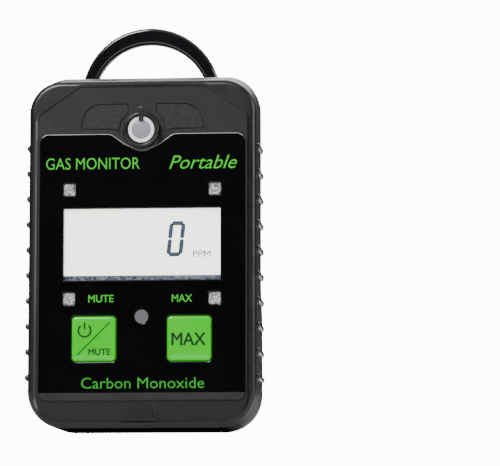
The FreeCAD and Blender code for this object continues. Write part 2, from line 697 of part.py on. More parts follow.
def port_pieces():
    """The bright ring and the filter in the cap, the seal and the sensor behind it."""
    floor = -(s.FrontDepth + s.CapProud - s.WellDeep)
    disc("cap_bezel", s.BezelOuter, floor - s.BezelThick, floor, s.PortHeight, s.BezelInner)
    disc("filter_disc", s.FilterRadius, floor - s.FilterThick, floor, s.PortHeight)
    seal_back = skin + 0.4 + s.SealThick
    disc("port_seal", s.SealRadius + s.SealThick / 2, seal_back - s.SealThick, seal_back,
         s.PortHeight, s.SealRadius - s.SealThick / 2)
    sensor_front = seal_back + 0.1
    body = disc("gas_sensor", s.SensorRadius, sensor_front, sensor_front + s.SensorLong,
                s.PortHeight)
    dress(body, "Chamfer", 0.6, flat_at("Y", sensor_front))


def display_pieces():
    """The clear window, the display glass, its light guide and its two contact strips."""
    edge = s.ScreenHalf
    slab("lcd_window", -edge, edge, overlay_face, skin - 0.05, s.ScreenBottom, s.ScreenTop)
    glass_front = skin + 0.15
    glass_back = glass_front + s.GlassThick
    slab("lcd_glass", -edge, edge, glass_front, glass_back, s.ScreenBottom - 1.6,
         s.ScreenTop + 1.6)
    slab("lcd_backlight", 0.8 - edge, edge - 0.8, glass_back + 0.05,
         glass_back + 0.05 + s.BacklightThick, s.ScreenBottom + 1.0, s.ScreenTop - 1.0)
    strips = (("lower_contact_strip", s.ScreenBottom - 1.5),
              ("upper_contact_strip", s.ScreenTop + 0.1))
    for label, low in strips:
        slab(label, 1.5 - edge, edge - 1.5, glass_back, board_front, low, low + s.StripTall)


def alarm_lights():
    """The four clear lenses at the corners of the display and the lamps behind them."""
    lens, lamp = s.LightWide / 2, s.LampWide / 2
    for i, (x, z) in enumerate(light_places(), start=1):
        slab(f"alarm_lens_{i}", x - lens, x + lens, overlay_face - 0.1, skin + 0.6, z - lens,
             z + lens, s.LightCorner)
        slab(f"alarm_lamp_{i}", x - lamp, x + lamp, board_front - 1.1, board_front, z - lamp,
             z + lamp)


def sounder():
    """The vent membrane in the overlay and the sounder behind it."""
    disc("sounder_vent", s.VentRadius, overlay_face - 0.05, skin, s.VentHeight)
    disc("sounder", s.SounderRadius, board_front - s.SounderThick, board_front, s.VentHeight)


def key_electronics():
    """The elastomer sheet behind the keys and one snap switch for each."""
    sheet_back = board_front - s.SwitchThick
    body = add_body("keypad_membrane")
    sketch = add_sketch(body, "XZ_Plane", -sheet_back)
    edge, low, high = s.SheetHalf, s.KeyHeight - s.SheetDrop, s.KeyHeight + s.SheetDrop
    notch = s.SounderRadius + 0.5
    polygon(sketch, [
        (-edge, low), (edge, low), (edge, high), (notch, high), (notch, s.VentHeight - notch),
        (-notch, s.VentHeight - notch), (-notch, high), (-edge, high),
    ])
    pad(body, sketch, s.SheetThick)
    reach = s.SwitchWide / 2
    for name, side in (("power_switch", -1), ("max_switch", 1)):
        x = side * s.KeyAcross
        slab(name, x - reach, x + reach, sheet_back, board_front, s.KeyHeight - reach,
             s.KeyHeight + reach, 0.8)


# ---------------------------------------------------------------- inner pieces


def main_board():
    """The circuit board, cut away round the sensor."""
    body = add_body("main_board")
    sketch = add_sketch(body, "XZ_Plane", -board_back)
    edge = s.BoardHalf
    rounded(sketch, -edge, edge, s.BoardBottom, s.BoardTop, 2.0)
    circle(sketch, s.SensorRadius + 0.4, 0.0, s.PortHeight)
    pad(body, sketch, s.BoardThick)


def battery_pieces():
    """The lithium cell across the bottom of the case and its two contacts."""
    body = add_body("battery", 0.0, s.CellDepth, s.CellHeight)
    sketch = add_sketch(body, "YZ_Plane")
    circle(sketch, s.CellRadius)
    pad(body, sketch, s.CellLong, middle=True)
    dress(body, "Fillet", 0.8, lambda edge: edge.BoundBox.XLength < 0.01)
    for label, side in (("positive_contact", 1), ("negative_contact", -1)):
        body = add_body(label)
        start = s.CellLong / 2 + 0.05
        sketch = add_sketch(body, "YZ_Plane", side * start)
        rounded(sketch, s.CellDepth - 6.0, s.CellDepth + 6.0, s.CellHeight - 6.0,
                s.CellHeight + 6.0, 1.5)
        pad(body, sketch, s.ContactThick, reverse=side < 0)
        foot = add_sketch(body, "YZ_Plane", side * start)
        rectangle(foot, board_back, s.CellDepth - 5.0, s.CellHeight - 2.0,
                  s.CellHeight + 2.0)
        pad(body, foot, s.ContactThick, reverse=side < 0)


def vibration_motor():
    """The small motor that shakes the case when the alarm sounds."""
    body = add_body("vibration_motor", 10.0, -1.0, s.MotorHeight)
    sketch = add_sketch(body, "YZ_Plane")
    circle(sketch, s.MotorRadius)
    pad(body, sketch, s.MotorLong, middle=True)
    weight = add_sketch(body, "YZ_Plane", s.MotorLong / 2)
    path(weight, [(-2.6, -0.8), (2.6, -0.8), (2.6, 2.6, 2.5), (-2.6, 2.6, 2.5)])
    pad(body, weight, 3.0)


# ---------------------------------------------------------------- belt clip


def strip(points, thick):
    """Return the closed outline of a bent strip whose one face follows the points."""
    near, far = [], []
    for i, point in enumerate(points):
        before = points[max(i - 1, 0)]
        after = points[min(i + 1, len(points) - 1)]
        along = Vector(after[0] - before[0], after[1] - before[1], 0).normalize()
        near.append(point[:2])
        far.append((point[0] - along.y * thick, point[1] + along.x * thick))
    return near + far[::-1]


def clip_base():
    """The clip's plate against the case, with its ears, rolled sleeve and toothed lip."""
    body = add_body("clip_base")
    plate = add_sketch(body, "XZ_Plane", -clip_face)
    wide, sleeve = s.ClipHalf, s.SleeveHalf
    path(plate, [
        (-wide, s.ClipBottom, 1.5), (wide, s.ClipBottom, 1.5), (wide, s.EarTop, 0.8),
        (sleeve, s.EarTop), (sleeve, s.BarHeight), (-sleeve, s.BarHeight),
        (-sleeve, s.EarTop), (-wide, s.EarTop, 0.8),
    ])
    pad(body, plate, s.SheetMetal, reverse=True)
    roll = add_sketch(body, "YZ_Plane")
    circle(roll, s.SleeveBore + s.SheetMetal, bar_depth, s.BarHeight)
    pad(body, roll, 2 * sleeve, middle=True)
    bore = add_sketch(body, "YZ_Plane")
    circle(bore, s.SleeveBore, bar_depth, s.BarHeight)
    pocket(body, bore, 2 * sleeve + 1.0, middle=True)
    slit = add_sketch(body, "YZ_Plane")
    rectangle(slit, clip_back + 0.1, clip_back + 0.6, s.BarHeight - 4.0, s.BarHeight - 1.0)
    pocket(body, slit, 2 * sleeve + 1.0, middle=True)

    for _, side in SIDES:
        ear = add_sketch(body, "YZ_Plane", side * (wide - s.SheetMetal))
        path(ear, [
            (clip_face, s.EarBottom), (s.PivotDepth, s.PivotHeight - s.EarRadius, 1.5),
            (s.PivotDepth + s.EarRadius, s.PivotHeight - s.EarRadius, 4.2),
            (s.PivotDepth + s.EarRadius, s.PivotHeight + s.EarRadius, 4.2),
            (s.PivotDepth - 1.5, s.PivotHeight + s.EarRadius, 3.0), (clip_face, s.EarTop),
        ])
        pad(body, ear, s.SheetMetal, reverse=side < 0)
    holes = add_sketch(body, "YZ_Plane")
    circle(holes, s.PinRadius, s.PivotDepth, s.PivotHeight)
    pocket(body, holes, 2 * wide + 2.0, middle=True)
    screw_hole = add_sketch(body, "XZ_Plane", -clip_face + 0.5)
    circle(screw_hole, s.ClipScrewRadius + 0.08, 0.0, s.ClipScrewHeight)
    pocket(body, screw_hole, 3.0)

    lip = add_sketch(body, "YZ_Plane")
    low = s.ClipBottom
    path(lip, [(clip_back - 0.3, low), (clip_face + s.LipReach, low + 0.5),
               (clip_face + s.LipReach, low + s.LipTall), (clip_back - 0.3, low + 1.4)])
    pad(body, lip, 2 * wide - 3.0, middle=True)
    teeth = add_sketch(body, "XZ_Plane", -clip_face - s.LipReach + 0.9)
    for i in range(-3, 4):
        middle_x = 2.1 * i
        polygon(teeth, [(middle_x - 0.55, low - 0.5), (middle_x + 0.55, low - 0.5),
                        (middle_x + 0.55, low + 3.0), (middle_x - 0.55, low + 3.0)])
    pocket(body, teeth, 2.0)


def pivot_plates(body, inner, outline):
    """Pad the same outline as a pair of plates either side, with pin holes through them."""
    for _, side in SIDES:
        sketch = add_sketch(body, "YZ_Plane", side * inner)
        path(sketch, outline)
        pad(body, sketch, s.SheetMetal - 0.2, reverse=side < 0)
    bore = add_sketch(body, "YZ_Plane")
    circle(bore, s.PinRadius + s.PinFit, s.PivotDepth, s.PivotHeight)
    pocket(body, bore, s.CaseWidth, middle=True)


def clip_jaw():
    """The sprung jaw: thumb tab above the pin, plate and toothed flanges below it."""
    body = add_body("clip_jaw")
    plate = add_sketch(body, "YZ_Plane")
    path(plate, strip([(15.9, 46.0), (17.6, 69.2)], -1.1))
    pad(body, plate, 2 * s.JawHalf, middle=True)
    tab = add_sketch(body, "YZ_Plane")
    path(tab, strip([(17.4, 77.2), (17.0, 79.4), (13.4, 88.0)], 1.1))
    pad(body, tab, 2 * s.TabHalf, middle=True)
    shoulder = add_sketch(body, "YZ_Plane")
    path(shoulder, strip([(17.5, 76.9), (17.2, 78.6)], 1.1))
    pad(body, shoulder, 2 * s.JawHalf, middle=True)
    tooth = [(9.8, 46.6), (11.4, 48.2), (9.8, 49.4), (11.4, 51.0), (9.9, 52.2), (11.6, 53.8),
             (10.6, 55.6, 0.8)]
    cheek = [(15.4, 46.0)] + tooth + [
        (13.6, 58.6, 3.0), (13.4, 70.0, 3.0), (13.2, 77.0, 3.0), (17.3, 78.5, 1.0),
        (20.7, 76.0, 2.5), (20.7, 71.0, 2.5), (17.3, 68.0, 2.0)]
    pivot_plates(body, s.JawHalf - s.SheetMetal + 0.2, cheek[::-1])


def clip_lever():
    """The outer cam lever, a channel that folds down over the jaw."""
    body = add_body("clip_lever")
    plate = add_sketch(body, "YZ_Plane")
    path(plate, strip([(17.4, 41.2), (18.3, 44.0), (22.3, 66.0), (23.9, 72.2)], 1.15))
    pad(body, plate, 2 * s.LeverHalf, middle=True)
    cheek = [(16.6, 42.0, 0.8), (18.0, 43.4), (22.3, 66.0), (23.7, 72.0, 1.0),
             (20.0, 76.3, 2.5), (14.6, 76.6, 2.4), (14.4, 70.6, 2.4), (18.6, 68.6, 2.5),
             (19.6, 64.0, 2.0), (16.4, 45.6, 1.0)]
    pivot_plates(body, s.LeverHalf - s.SheetMetal + 0.2, cheek)


def clip_pin():
    """The hollow rivet that the jaw and the lever turn on."""
    body = add_body("clip_pin", 0.0, s.PivotDepth, s.PivotHeight)
    tube = add_sketch(body, "YZ_Plane")
    circle(tube, s.PinRadius)
    pad(body, tube, 2 * (s.ClipHalf + s.PinHeadThick), middle=True)
    for _, side in SIDES:
        head = add_sketch(body, "YZ_Plane", side * s.ClipHalf)
        circle(head, s.PinRadius + s.PinHeadProud)
        pad(body, head, s.PinHeadThick, reverse=side < 0)
    bore = add_sketch(body, "YZ_Plane")
    circle(bore, s.PinBore)
    pocket(body, bore, 2 * s.ClipHalf + 3.0, middle=True)


def clip_spring():
    """The torsion spring on the pin, a close helix about X."""
    body = add_body("clip_spring", 0.0, s.PivotDepth, s.PivotHeight)
    sketch = add_sketch(body, "XY_Plane")
    circle(sketch, s.SpringWire / 2, -s.SpringLong / 2, s.SpringRadius)
    helix = body.newObject("PartDesign::AdditiveHelix", "clip_spring_helix")
    helix.Profile = sketch
    helix.ReferenceAxis = (sketch, ["H_Axis"])
    helix.Mode = "pitch-height-angle"
    helix.Pitch = number(s.SpringPitch)
    helix.Height = number(s.SpringLong)
    bind(helix, "Pitch", s.SpringPitch)
    bind(helix, "Height", s.SpringLong)
    doc.recompute()


def clip_fixings():
    """The dome-headed screw that the clip swivels on and its brass insert in the case."""
    body = disc("clip_insert", s.InsertRadius, 2.7, s.BackDepth, s.ClipScrewHeight,
                s.ClipScrewRadius + 0.05)
    body = add_body("clip_screw", 0.0, 0.0, s.ClipScrewHeight)
    shank = add_sketch(body, "XZ_Plane", -3.0)
    circle(shank, s.ClipScrewRadius)
    pad(body, shank, clip_back + 0.1 - 3.0, reverse=True)
    head = add_sketch(body, "XZ_Plane", -clip_back - 0.06)
    circle(head, s.ClipHeadRadius)
    pad(body, head, 1.4, reverse=True)
    dress(body, "Fillet", 1.1, flat_at("Y", clip_back + 1.46))
    slot = add_sketch(body, "XZ_Plane", -clip_back - 0.9)
    rectangle(slot, -2.5, 2.5, -0.3, 0.3)
    pocket(body, slot, 2.0)


def hang_ring():
    """The D-shaped ring on its bar, leaning against the top of the case."""
    body = add_body("hang_ring", 0.0, bar_depth, s.BarHeight)
    sketch = add_sketch(body, "XZ_Plane")
    low = -number(s.BarRadius)
    arcs = []
    for rise, reach in ((s.RingRise, s.RingOuter), (s.RingInnerRise, s.RingInner)):
        centre, radius = number(rise), number(reach)
        start = -math.asin((centre - low) / radius)
        full = Part.Circle(Vector(0, centre, 0), Vector(0, 0, 1), radius)
        arcs.append(Part.ArcOfCircle(full, start, math.pi - start))
    for arc in arcs:
        sketch.addGeometry(arc, False)
    for end in ("StartPoint", "EndPoint"):
        line = Part.LineSegment(getattr(arcs[0], end), getattr(arcs[1], end))
        sketch.addGeometry(line, False)
    for i in range(4):
        sketch.addConstraint(Sketcher.Constraint("Block", i))
    pad(body, sketch, s.RingThick, middle=True)
    dress(body, "Fillet", s.RingEdge, lambda edge: edge.Length > 20)
    bar = add_sketch(body, "YZ_Plane")
    circle(bar, s.BarRadius)
    pad(body, bar, 2 * s.BarHalf, middle=True)
    body.Placement = Placement(body.Placement.Base,
                               Rotation(Vector(1, 0, 0), number(s.RingLean)))
    bind(body, ".Placement.Rotation.Angle", s.RingLean)


# ---------------------------------------------------------------- build and write

front_shell()
rear_shell()
case_gasket()
case_screws()
graphic_overlay()
display_pieces()
alarm_lights()
key("power_key", -1)
key("max_key", 1)
key_electronics()
sounder()
sensor_cap()
port_pieces()
main_board()
battery_pieces()
vibration_motor()
clip_fixings()
clip_base()
clip_pin()
clip_spring()
clip_jaw()
clip_lever()
hang_ring()
doc.recompute()

for item in doc.Objects:
    if {"Invalid", "Error"} & set(item.State):
        raise RuntimeError(f"{item.Name} failed: {item.State}")
for piece in PIECES:
    if piece.Shape.isNull() or not piece.Shape.isValid():
        raise RuntimeError(f"{piece.Label} has no valid shape")
    piece.Shape.exportStep(f"parts/{piece.Label}.step")
    box = piece.Shape.BoundBox
    print(f"{piece.Label}: {len(piece.Shape.Solids)} solid, {piece.Shape.Volume:.1f} mm3, "
          f"X {box.XMin:.2f} {box.XMax:.2f} Y {box.YMin:.2f} {box.YMax:.2f} "
          f"Z {box.ZMin:.2f} {box.ZMax:.2f}")
print(len(PIECES), "nodes")
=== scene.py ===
"""Looks of a pocket-size gas detector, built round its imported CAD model.

Every length is in metres, in the frame of the CAD model: +Z up the case, -Y out of the
display, +X to the viewer's right. Places come from the CAD nodes' own boxes, or from sizes
given here.
"""
from __future__ import annotations

import logging
import math
from collections.abc import Callable, Iterable
from dataclasses import dataclass, field
from enum import Enum

import bmesh
import bpy
from mathutils import Matrix, Vector

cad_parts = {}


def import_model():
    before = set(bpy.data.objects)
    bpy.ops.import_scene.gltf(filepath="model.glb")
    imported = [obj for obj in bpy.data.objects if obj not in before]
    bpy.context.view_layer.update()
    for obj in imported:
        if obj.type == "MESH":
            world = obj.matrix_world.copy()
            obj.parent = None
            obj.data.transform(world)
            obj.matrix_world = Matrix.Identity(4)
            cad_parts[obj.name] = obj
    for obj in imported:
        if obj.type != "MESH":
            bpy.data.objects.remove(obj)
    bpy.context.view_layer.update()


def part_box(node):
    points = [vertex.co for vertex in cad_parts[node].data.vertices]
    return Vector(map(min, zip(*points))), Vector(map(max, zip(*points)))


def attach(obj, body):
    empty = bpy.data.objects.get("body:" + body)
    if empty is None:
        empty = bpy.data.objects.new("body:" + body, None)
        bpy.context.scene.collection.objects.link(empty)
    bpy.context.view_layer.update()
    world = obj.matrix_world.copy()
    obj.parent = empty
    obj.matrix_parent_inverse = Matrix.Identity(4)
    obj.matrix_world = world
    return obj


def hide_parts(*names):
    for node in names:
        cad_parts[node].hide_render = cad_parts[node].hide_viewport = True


LOG = logging.getLogger("detector")
MM = 0.001
Piece = bpy.types.Object
Material = bpy.types.Material
Tree = bpy.types.NodeTree
Socket = bpy.types.NodeSocket
Colour = tuple[float, float, float]
FaceTest = Callable[[Vector, Vector], bool]
COAT_ROUGHNESS = 0.04
RELIEF_DEPTH = 0.1 * MM


class Surface(Enum):
    """The kinds of surface that a finish can have."""

    MOULDED = "spark-eroded plastic"
    GLOSS = "polished plastic or ink"
    METAL = "plated or oxidised metal"
    CLEAR = "clear window"
    DISPLAY = "liquid crystal face"
    WOVEN = "felt or gauze"
    # Light and dark patches that are painted glints.
    GLINT = "lamp behind a clear lens"


def srgb(red: int, green: int, blue: int) -> Colour:
    """Return the linear colour of three display values from 0 to 255."""
    def linear(value: int) -> float:
        share = value / 255
        return share / 12.92 if share <= 0.04045 else ((share + 0.055) / 1.055) ** 2.4
    return linear(red), linear(green), linear(blue)


def add(tree: Tree, kind: str, **values: object) -> bpy.types.Node:
    """Add a shader node and set inputs by their names, with _ for each space."""
    node = tree.nodes.new(f"ShaderNode{kind}")
    for label, value in values.items():
        node.inputs[label.replace("_", " ")].default_value = value
    return node


def wire(tree: Tree, *joins: tuple) -> None:
    """Link nodes, each join given as a node, its output, the next node and its input."""
    for source, output, target, socket in joins:
        tree.links.new(source.outputs[output], target.inputs[socket])


# ---------------------------------------------------------------- shared effects


class Effects:
    """Node groups that more than one finish uses, each built once."""

    @staticmethod
    def _start(name: str, inputs: dict[str, float | None], outputs: Iterable[str]) -> tuple:
        """Make an empty group.

        Args:
            name: What the group is called.
            inputs: Each input's name and default; None makes it a vector.
            outputs: The names of its value outputs.

        Returns:
            The group, its input node and its output node.
        """
        group = bpy.data.node_groups.new(name, "ShaderNodeTree")
        for label, value in inputs.items():
            kind = "NodeSocketVector" if value is None else "NodeSocketFloat"
            socket = group.interface.new_socket(label, in_out="INPUT", socket_type=kind)
            if value is not None:
                socket.default_value = value
        for label in outputs:
            group.interface.new_socket(label, in_out="OUTPUT", socket_type="NodeSocketFloat")
        return group, group.nodes.new("NodeGroupInput"), group.nodes.new("NodeGroupOutput")

    @classmethod
    def grain(cls) -> Tree:
        """Return the moulded-grain group: a fine pitted height and a slow change of shade."""
        name = "moulded_grain"
        if name in bpy.data.node_groups:
            return bpy.data.node_groups[name]
        group, start, end = cls._start(name, {"Vector": None, "Scale": 3000.0},
                                       ("Height", "Shade"))
        pits = add(group, "TexNoise", Detail=3.0)
        slow = add(group, "TexNoise", Scale=90.0)
        stretch = add(group, "MapRange", From_Min=0.3, From_Max=0.7)
        wire(group, (start, "Vector", pits, "Vector"), (start, "Scale", pits, "Scale"),
             (start, "Vector", slow, "Vector"), (pits, "Fac", end, "Height"),
             (slow, "Fac", stretch, "Value"), (stretch, "Result", end, "Shade"))
        return group

    @classmethod
    def wear(cls) -> Tree:
        """Return the edge-wear group: a mask of the outer corners, broken up by noise."""
        name = "edge_wear"
        if name in bpy.data.node_groups:
            return bpy.data.node_groups[name]
        group, start, end = cls._start(name, {"Vector": None, "Amount": 0.5}, ("Mask",))
        geometry = add(group, "NewGeometry")
        corner = add(group, "MapRange", From_Min=0.52, From_Max=0.62)
        noise = add(group, "TexNoise", Scale=700.0)
        patchy = add(group, "MapRange", From_Min=0.35, From_Max=0.7)
        both, scaled = add(group, "Math"), add(group, "Math")
        both.operation = scaled.operation = "MULTIPLY"
        wire(group, (geometry, "Pointiness", corner, "Value"),
             (start, "Vector", noise, "Vector"), (noise, "Fac", patchy, "Value"),
             (corner, "Result", both, 0), (patchy, "Result", both, 1),
             (both, "Value", scaled, 0), (start, "Amount", scaled, 1),
             (scaled, "Value", end, "Mask"))
        return group

    @classmethod
    def scratches(cls) -> Tree:
        """Return the hairline group: long faint scratches along one direction."""
        name = "hairline_scratches"
        if name in bpy.data.node_groups:
            return bpy.data.node_groups[name]
        group, start, end = cls._start(name, {"Vector": None, "Scale": 1.0}, ("Mask",))
        mapping = add(group, "Mapping", Scale=(160.0, 160.0, 6000.0),
                      Rotation=(0.0, 0.35, 0.0))
        noise = add(group, "TexNoise", Detail=2.0)
        stretch = add(group, "MapRange", From_Min=0.45, From_Max=0.75)
        wire(group, (start, "Vector", mapping, "Vector"), (mapping, "Vector", noise, "Vector"),
             (start, "Scale", noise, "Scale"), (noise, "Fac", stretch, "Value"),
             (stretch, "Result", end, "Mask"))
        return group


# ---------------------------------------------------------------- finishes


@dataclass(frozen=True)
class Finish:
    """One finish, turned into a material when it is first asked for; any glow it has is painted
    light.
    """

    name: str
    surface: Surface
    colour: Colour
    second: Colour
    roughness: float = 0.5
    uneven: float = 0.1
    grain: float = 3000.0
    relief: float = 0.2
    coat: float = 0.0
    wear: float = 0.0
    alpha: float = 1.0
    # Emission on parts that are no lamps: painted light that brightens them beyond what the lamps
    # give.
    painted_glow: float = 0.0
    shine: float = 0.5

    def material(self) -> Material:
        """Return the material, building it the first time."""
        title = f"{self.name}_finish"
        if title in bpy.data.materials:
            return bpy.data.materials[title]
        material = bpy.data.materials.new(title)
        material.use_nodes = True
        tree, links = material.node_tree, material.node_tree.links
        shader = tree.nodes["Principled BSDF"]
        place = add(tree, "TexCoord").outputs["Object"]
        grain = self._group(material, Effects.grain(), place)
        grain.inputs["Scale"].default_value = self.grain
        shade, height = grain.outputs["Shade"], grain.outputs["Height"]
        if self.surface in (Surface.METAL, Surface.GLOSS):
            fine = self._group(material, Effects.scratches(), place)
            shade = self._mean(material, shade, fine.outputs["Mask"])
        if self.surface is Surface.WOVEN:
            height = shade = self._weave(material, place)
        # Painted glints: patches between the light and the dark colour.
        if self.surface is Surface.GLINT:
            shade = self._painted_glints(material, place)
        streaky = self.surface is Surface.DISPLAY
        share = self._streaks(material, place) if streaky else shade
        colour = self._mixed(material, share, self.colour, self.second)
        if self.wear:
            edge = self._group(material, Effects.wear(), place)
            edge.inputs["Amount"].default_value = self.wear
            lighter = tuple(min(1.0, value * 2.2 + 0.03) for value in self.colour)
            colour = self._mixed(material, edge.outputs["Mask"], colour, lighter)
        links.new(colour, shader.inputs["Base Color"])
        rough = add(tree, "MapRange", To_Min=max(0.02, self.roughness - self.uneven),
                    To_Max=min(1.0, self.roughness + self.uneven))
        links.new(shade, rough.inputs["Value"])
        bump = add(tree, "Bump", Strength=self.relief, Distance=RELIEF_DEPTH)
        links.new(height, bump.inputs["Height"])
        wire(tree, (rough, "Result", shader, "Roughness"), (bump, "Normal", shader, "Normal"))
        for label, value in (("Metallic", float(self.surface is Surface.METAL)),
                             ("Coat Weight", self.coat), ("Coat Roughness", COAT_ROUGHNESS),
                             ("Specular IOR Level", self.shine), ("Alpha", self.alpha)):
            shader.inputs[label].default_value = value
        # Painted light: the colour also glows, though the part is no lamp.
        if self.painted_glow:
            links.new(colour, shader.inputs["Emission Color"])
            shader.inputs["Emission Strength"].default_value = self.painted_glow
        material.diffuse_color = (*self.colour, self.alpha)
        return material

    @staticmethod
    def _group(material: Material, tree: Tree, place: Socket) -> bpy.types.Node:
        """Place a shared effect in a material and give it the object's coordinates."""
        node = material.node_tree.nodes.new("ShaderNodeGroup")
        node.node_tree = tree
        material.node_tree.links.new(place, node.inputs["Vector"])
        return node

    @staticmethod
    def _mean(material: Material, first: Socket, second: Socket) -> Socket:
        """Return the mean of two values."""
        node = material.node_tree.nodes.new("ShaderNodeMix")
        node.inputs["Factor"].default_value = 0.5
        material.node_tree.links.new(first, node.inputs["A"])
        material.node_tree.links.new(second, node.inputs["B"])
        return node.outputs["Result"]

    @staticmethod
    def _mixed(material: Material, share: Socket, first: Colour | Socket,
               second: Colour) -> Socket:
        """Return a colour between two, by a value from 0 to 1; the first may be linked."""
        tree = material.node_tree
        node = add(tree, "Mix")
        node.data_type = "RGBA"
        if isinstance(first, tuple):
            node.inputs["A"].default_value = (*first, 1.0)
        else:
            tree.links.new(first, node.inputs["A"])
        node.inputs["B"].default_value = (*second, 1.0)
        tree.links.new(share, node.inputs["Factor"])
        return node.outputs["Result"]

    def _weave(self, material: Material, place: Socket) -> Socket:
        """Return the height of a fine gauze of crossed threads."""
        tree = material.node_tree
        threads = []
        for direction in ("X", "Z"):
            wave = add(tree, "TexWave", Scale=self.grain, Distortion=1.5)
            wave.bands_direction = direction
            tree.links.new(place, wave.inputs["Vector"])
            threads.append(wave.outputs["Fac"])
        return self._mean(material, *threads)

    def _painted_glints(self, material: Material, place: Socket) -> Socket:
        """Return light and dark patches of painted glints, as of a lamp cup seen through its lens.
        """
        cells = add(material.node_tree, "TexVoronoi", Scale=self.grain)
        material.node_tree.links.new(place, cells.inputs["Vector"])
        return cells.outputs["Distance"]

    @staticmethod
    def _streaks(material: Material, place: Socket) -> Socket:
        """Return the faint sideways streaks in the reflector behind a display."""
        tree = material.node_tree
        mapping = add(tree, "Mapping", Scale=(60.0, 60.0, 1500.0))
        noise = add(tree, "TexNoise", Scale=1.0)
        tree.links.new(place, mapping.inputs["Vector"])
        wire(tree, (mapping, "Vector", noise, "Vector"))
        return noise.outputs["Fac"]


CASE = Finish("case_plastic", Surface.MOULDED, srgb(28, 28, 30), srgb(18, 18, 20), 0.5, 0.08,
              2600.0, 0.5, wear=0.3, shine=0.35)
OVERLAY = Finish("overlay_gloss", Surface.GLOSS, srgb(4, 4, 6), srgb(7, 7, 9), 0.13, 0.03,
                 900.0, 0.01, shine=0.4)
RIM = Finish("smooth_rim", Surface.MOULDED, srgb(20, 19, 23), srgb(14, 13, 17), 0.34, 0.06,
             1800.0, 0.15, coat=0.1, wear=0.25, shine=0.5)
RIB_TIP = Finish("polished_rib", Surface.MOULDED, srgb(14, 14, 16), srgb(20, 20, 22), 0.28,
                 0.06, 1800.0, 0.12, coat=0.2, wear=0.4)
RAMP = Finish("overlay_ramp", Surface.MOULDED, srgb(20, 21, 24), srgb(34, 35, 38), 0.5, 0.1,
              2200.0, 0.6)
# The keys' glow is painted light that brightens the green; the keys are no lamps.
KEY_GREEN = Finish("key_green", Surface.GLOSS, srgb(24, 190, 0), srgb(34, 200, 4), 0.22, 0.06,
                   1500.0, 0.03, coat=0.4, painted_glow=0.25, shine=0.4)
KEY_INK = Finish("key_ink", Surface.GLOSS, srgb(4, 6, 4), srgb(6, 9, 6), 0.4, 0.05,
                 1500.0, 0.05)
# The print's glow is painted light that brightens the ink.
PRINT_GREEN = Finish("print_green", Surface.GLOSS, srgb(20, 150, 4), srgb(28, 160, 8), 0.45,
                     0.08, 2500.0, 0.08, painted_glow=0.15)
# The labels' glow is painted light that brightens the ink.
LABEL_GREEN = Finish("label_green", Surface.GLOSS, srgb(36, 176, 6), srgb(46, 186, 10), 0.45,
                     0.08, 2500.0, 0.08, painted_glow=0.2)
# Painted highlight: pale grey on the overlay's upper bevel, standing in for the light that bevel
# catches.
EDGE_HIGHLIGHT = Finish("overlay_edge_highlight", Surface.GLOSS, srgb(150, 152, 160), srgb(176, 178, 186),
                   0.25, 0.08, 1200.0, 0.05, coat=0.6)
# The display face's strong glow is painted light that brightens it beyond what the lamps give.
DISPLAY_FACE = Finish("display_face", Surface.DISPLAY, srgb(230, 240, 226),
                      srgb(204, 218, 200), 0.4, 0.05, 2000.0, 0.02, painted_glow=3.6)
SEGMENT = Finish("segment_ink", Surface.GLOSS, srgb(66, 80, 104), srgb(78, 92, 116), 0.5,
                 0.05, 2000.0, 0.02)
UNIT_INK = Finish("unit_ink", Surface.GLOSS, srgb(112, 120, 120), srgb(100, 108, 110), 0.5,
                  0.05, 2000.0, 0.02)
# Painted shade and painted glints: a dark blue strip with pale patches for the shaded, reflecting
# lower edge of the display window.
SHADE_AND_GLINT_LEDGE = Finish("contact_ledge", Surface.GLINT, srgb(20, 28, 48), srgb(150, 162, 182), 0.2, 0.1,
               1100.0, 0.1, coat=0.5)
WINDOW = Finish("clear_window", Surface.CLEAR, srgb(12, 12, 12), srgb(16, 16, 16), 0.06,
                0.03, 700.0, 0.01, coat=0.3, alpha=0.06)
# Painted glints and painted light: near-white and dark patches with a glow, for light caught in
# the lamp cups.
LAMP_PAINTED_GLINTS = Finish("lamp_glint", Surface.GLINT, srgb(248, 250, 255), srgb(20, 22, 28), 0.12,
                    0.1, 1500.0, 0.6, coat=0.8, painted_glow=0.3)
VENT = Finish("vent_felt", Surface.WOVEN, srgb(104, 106, 110), srgb(86, 88, 92), 0.75, 0.1,
              2200.0, 0.3)
CAP = Finish("cap_plastic", Surface.GLOSS, srgb(26, 26, 30), srgb(34, 34, 38), 0.3, 0.08,
             1800.0, 0.1, coat=0.2, wear=0.4)
# Painted reflection and painted light: near-white gloss with a glow for the polished ring's bright
# reflection.
PAINTED_RING_REFLECTION = Finish("bright_ring", Surface.GLOSS, srgb(232, 234, 238), srgb(214, 217, 222), 0.28,
                0.08, 2000.0, 0.05, coat=0.5, painted_glow=0.3)
FILTER = Finish("filter_gauze", Surface.WOVEN, srgb(156, 158, 164), srgb(120, 122, 130), 0.45,
                0.1, 1400.0, 0.35, coat=0.3)
OXIDE = Finish("black_oxide", Surface.METAL, srgb(70, 70, 74), srgb(48, 48, 52), 0.34, 0.1,
               1500.0, 0.12, wear=0.8)
NICKEL = Finish("nickel_plate", Surface.METAL, srgb(178, 178, 180), srgb(150, 150, 154), 0.3,
                0.1, 1500.0, 0.1, wear=0.4)
STEEL = Finish("screw_steel", Surface.METAL, srgb(150, 150, 154), srgb(120, 120, 126), 0.35,
               0.1, 1500.0, 0.1, wear=0.4)
BRASS = Finish("insert_brass", Surface.METAL, srgb(200, 164, 88), srgb(176, 140, 70), 0.3, 0.1,
               1500.0, 0.1)
RING = Finish("ring_enamel", Surface.GLOSS, srgb(16, 14, 18), srgb(24, 21, 26), 0.14, 0.05,
              900.0, 0.03, coat=0.8)
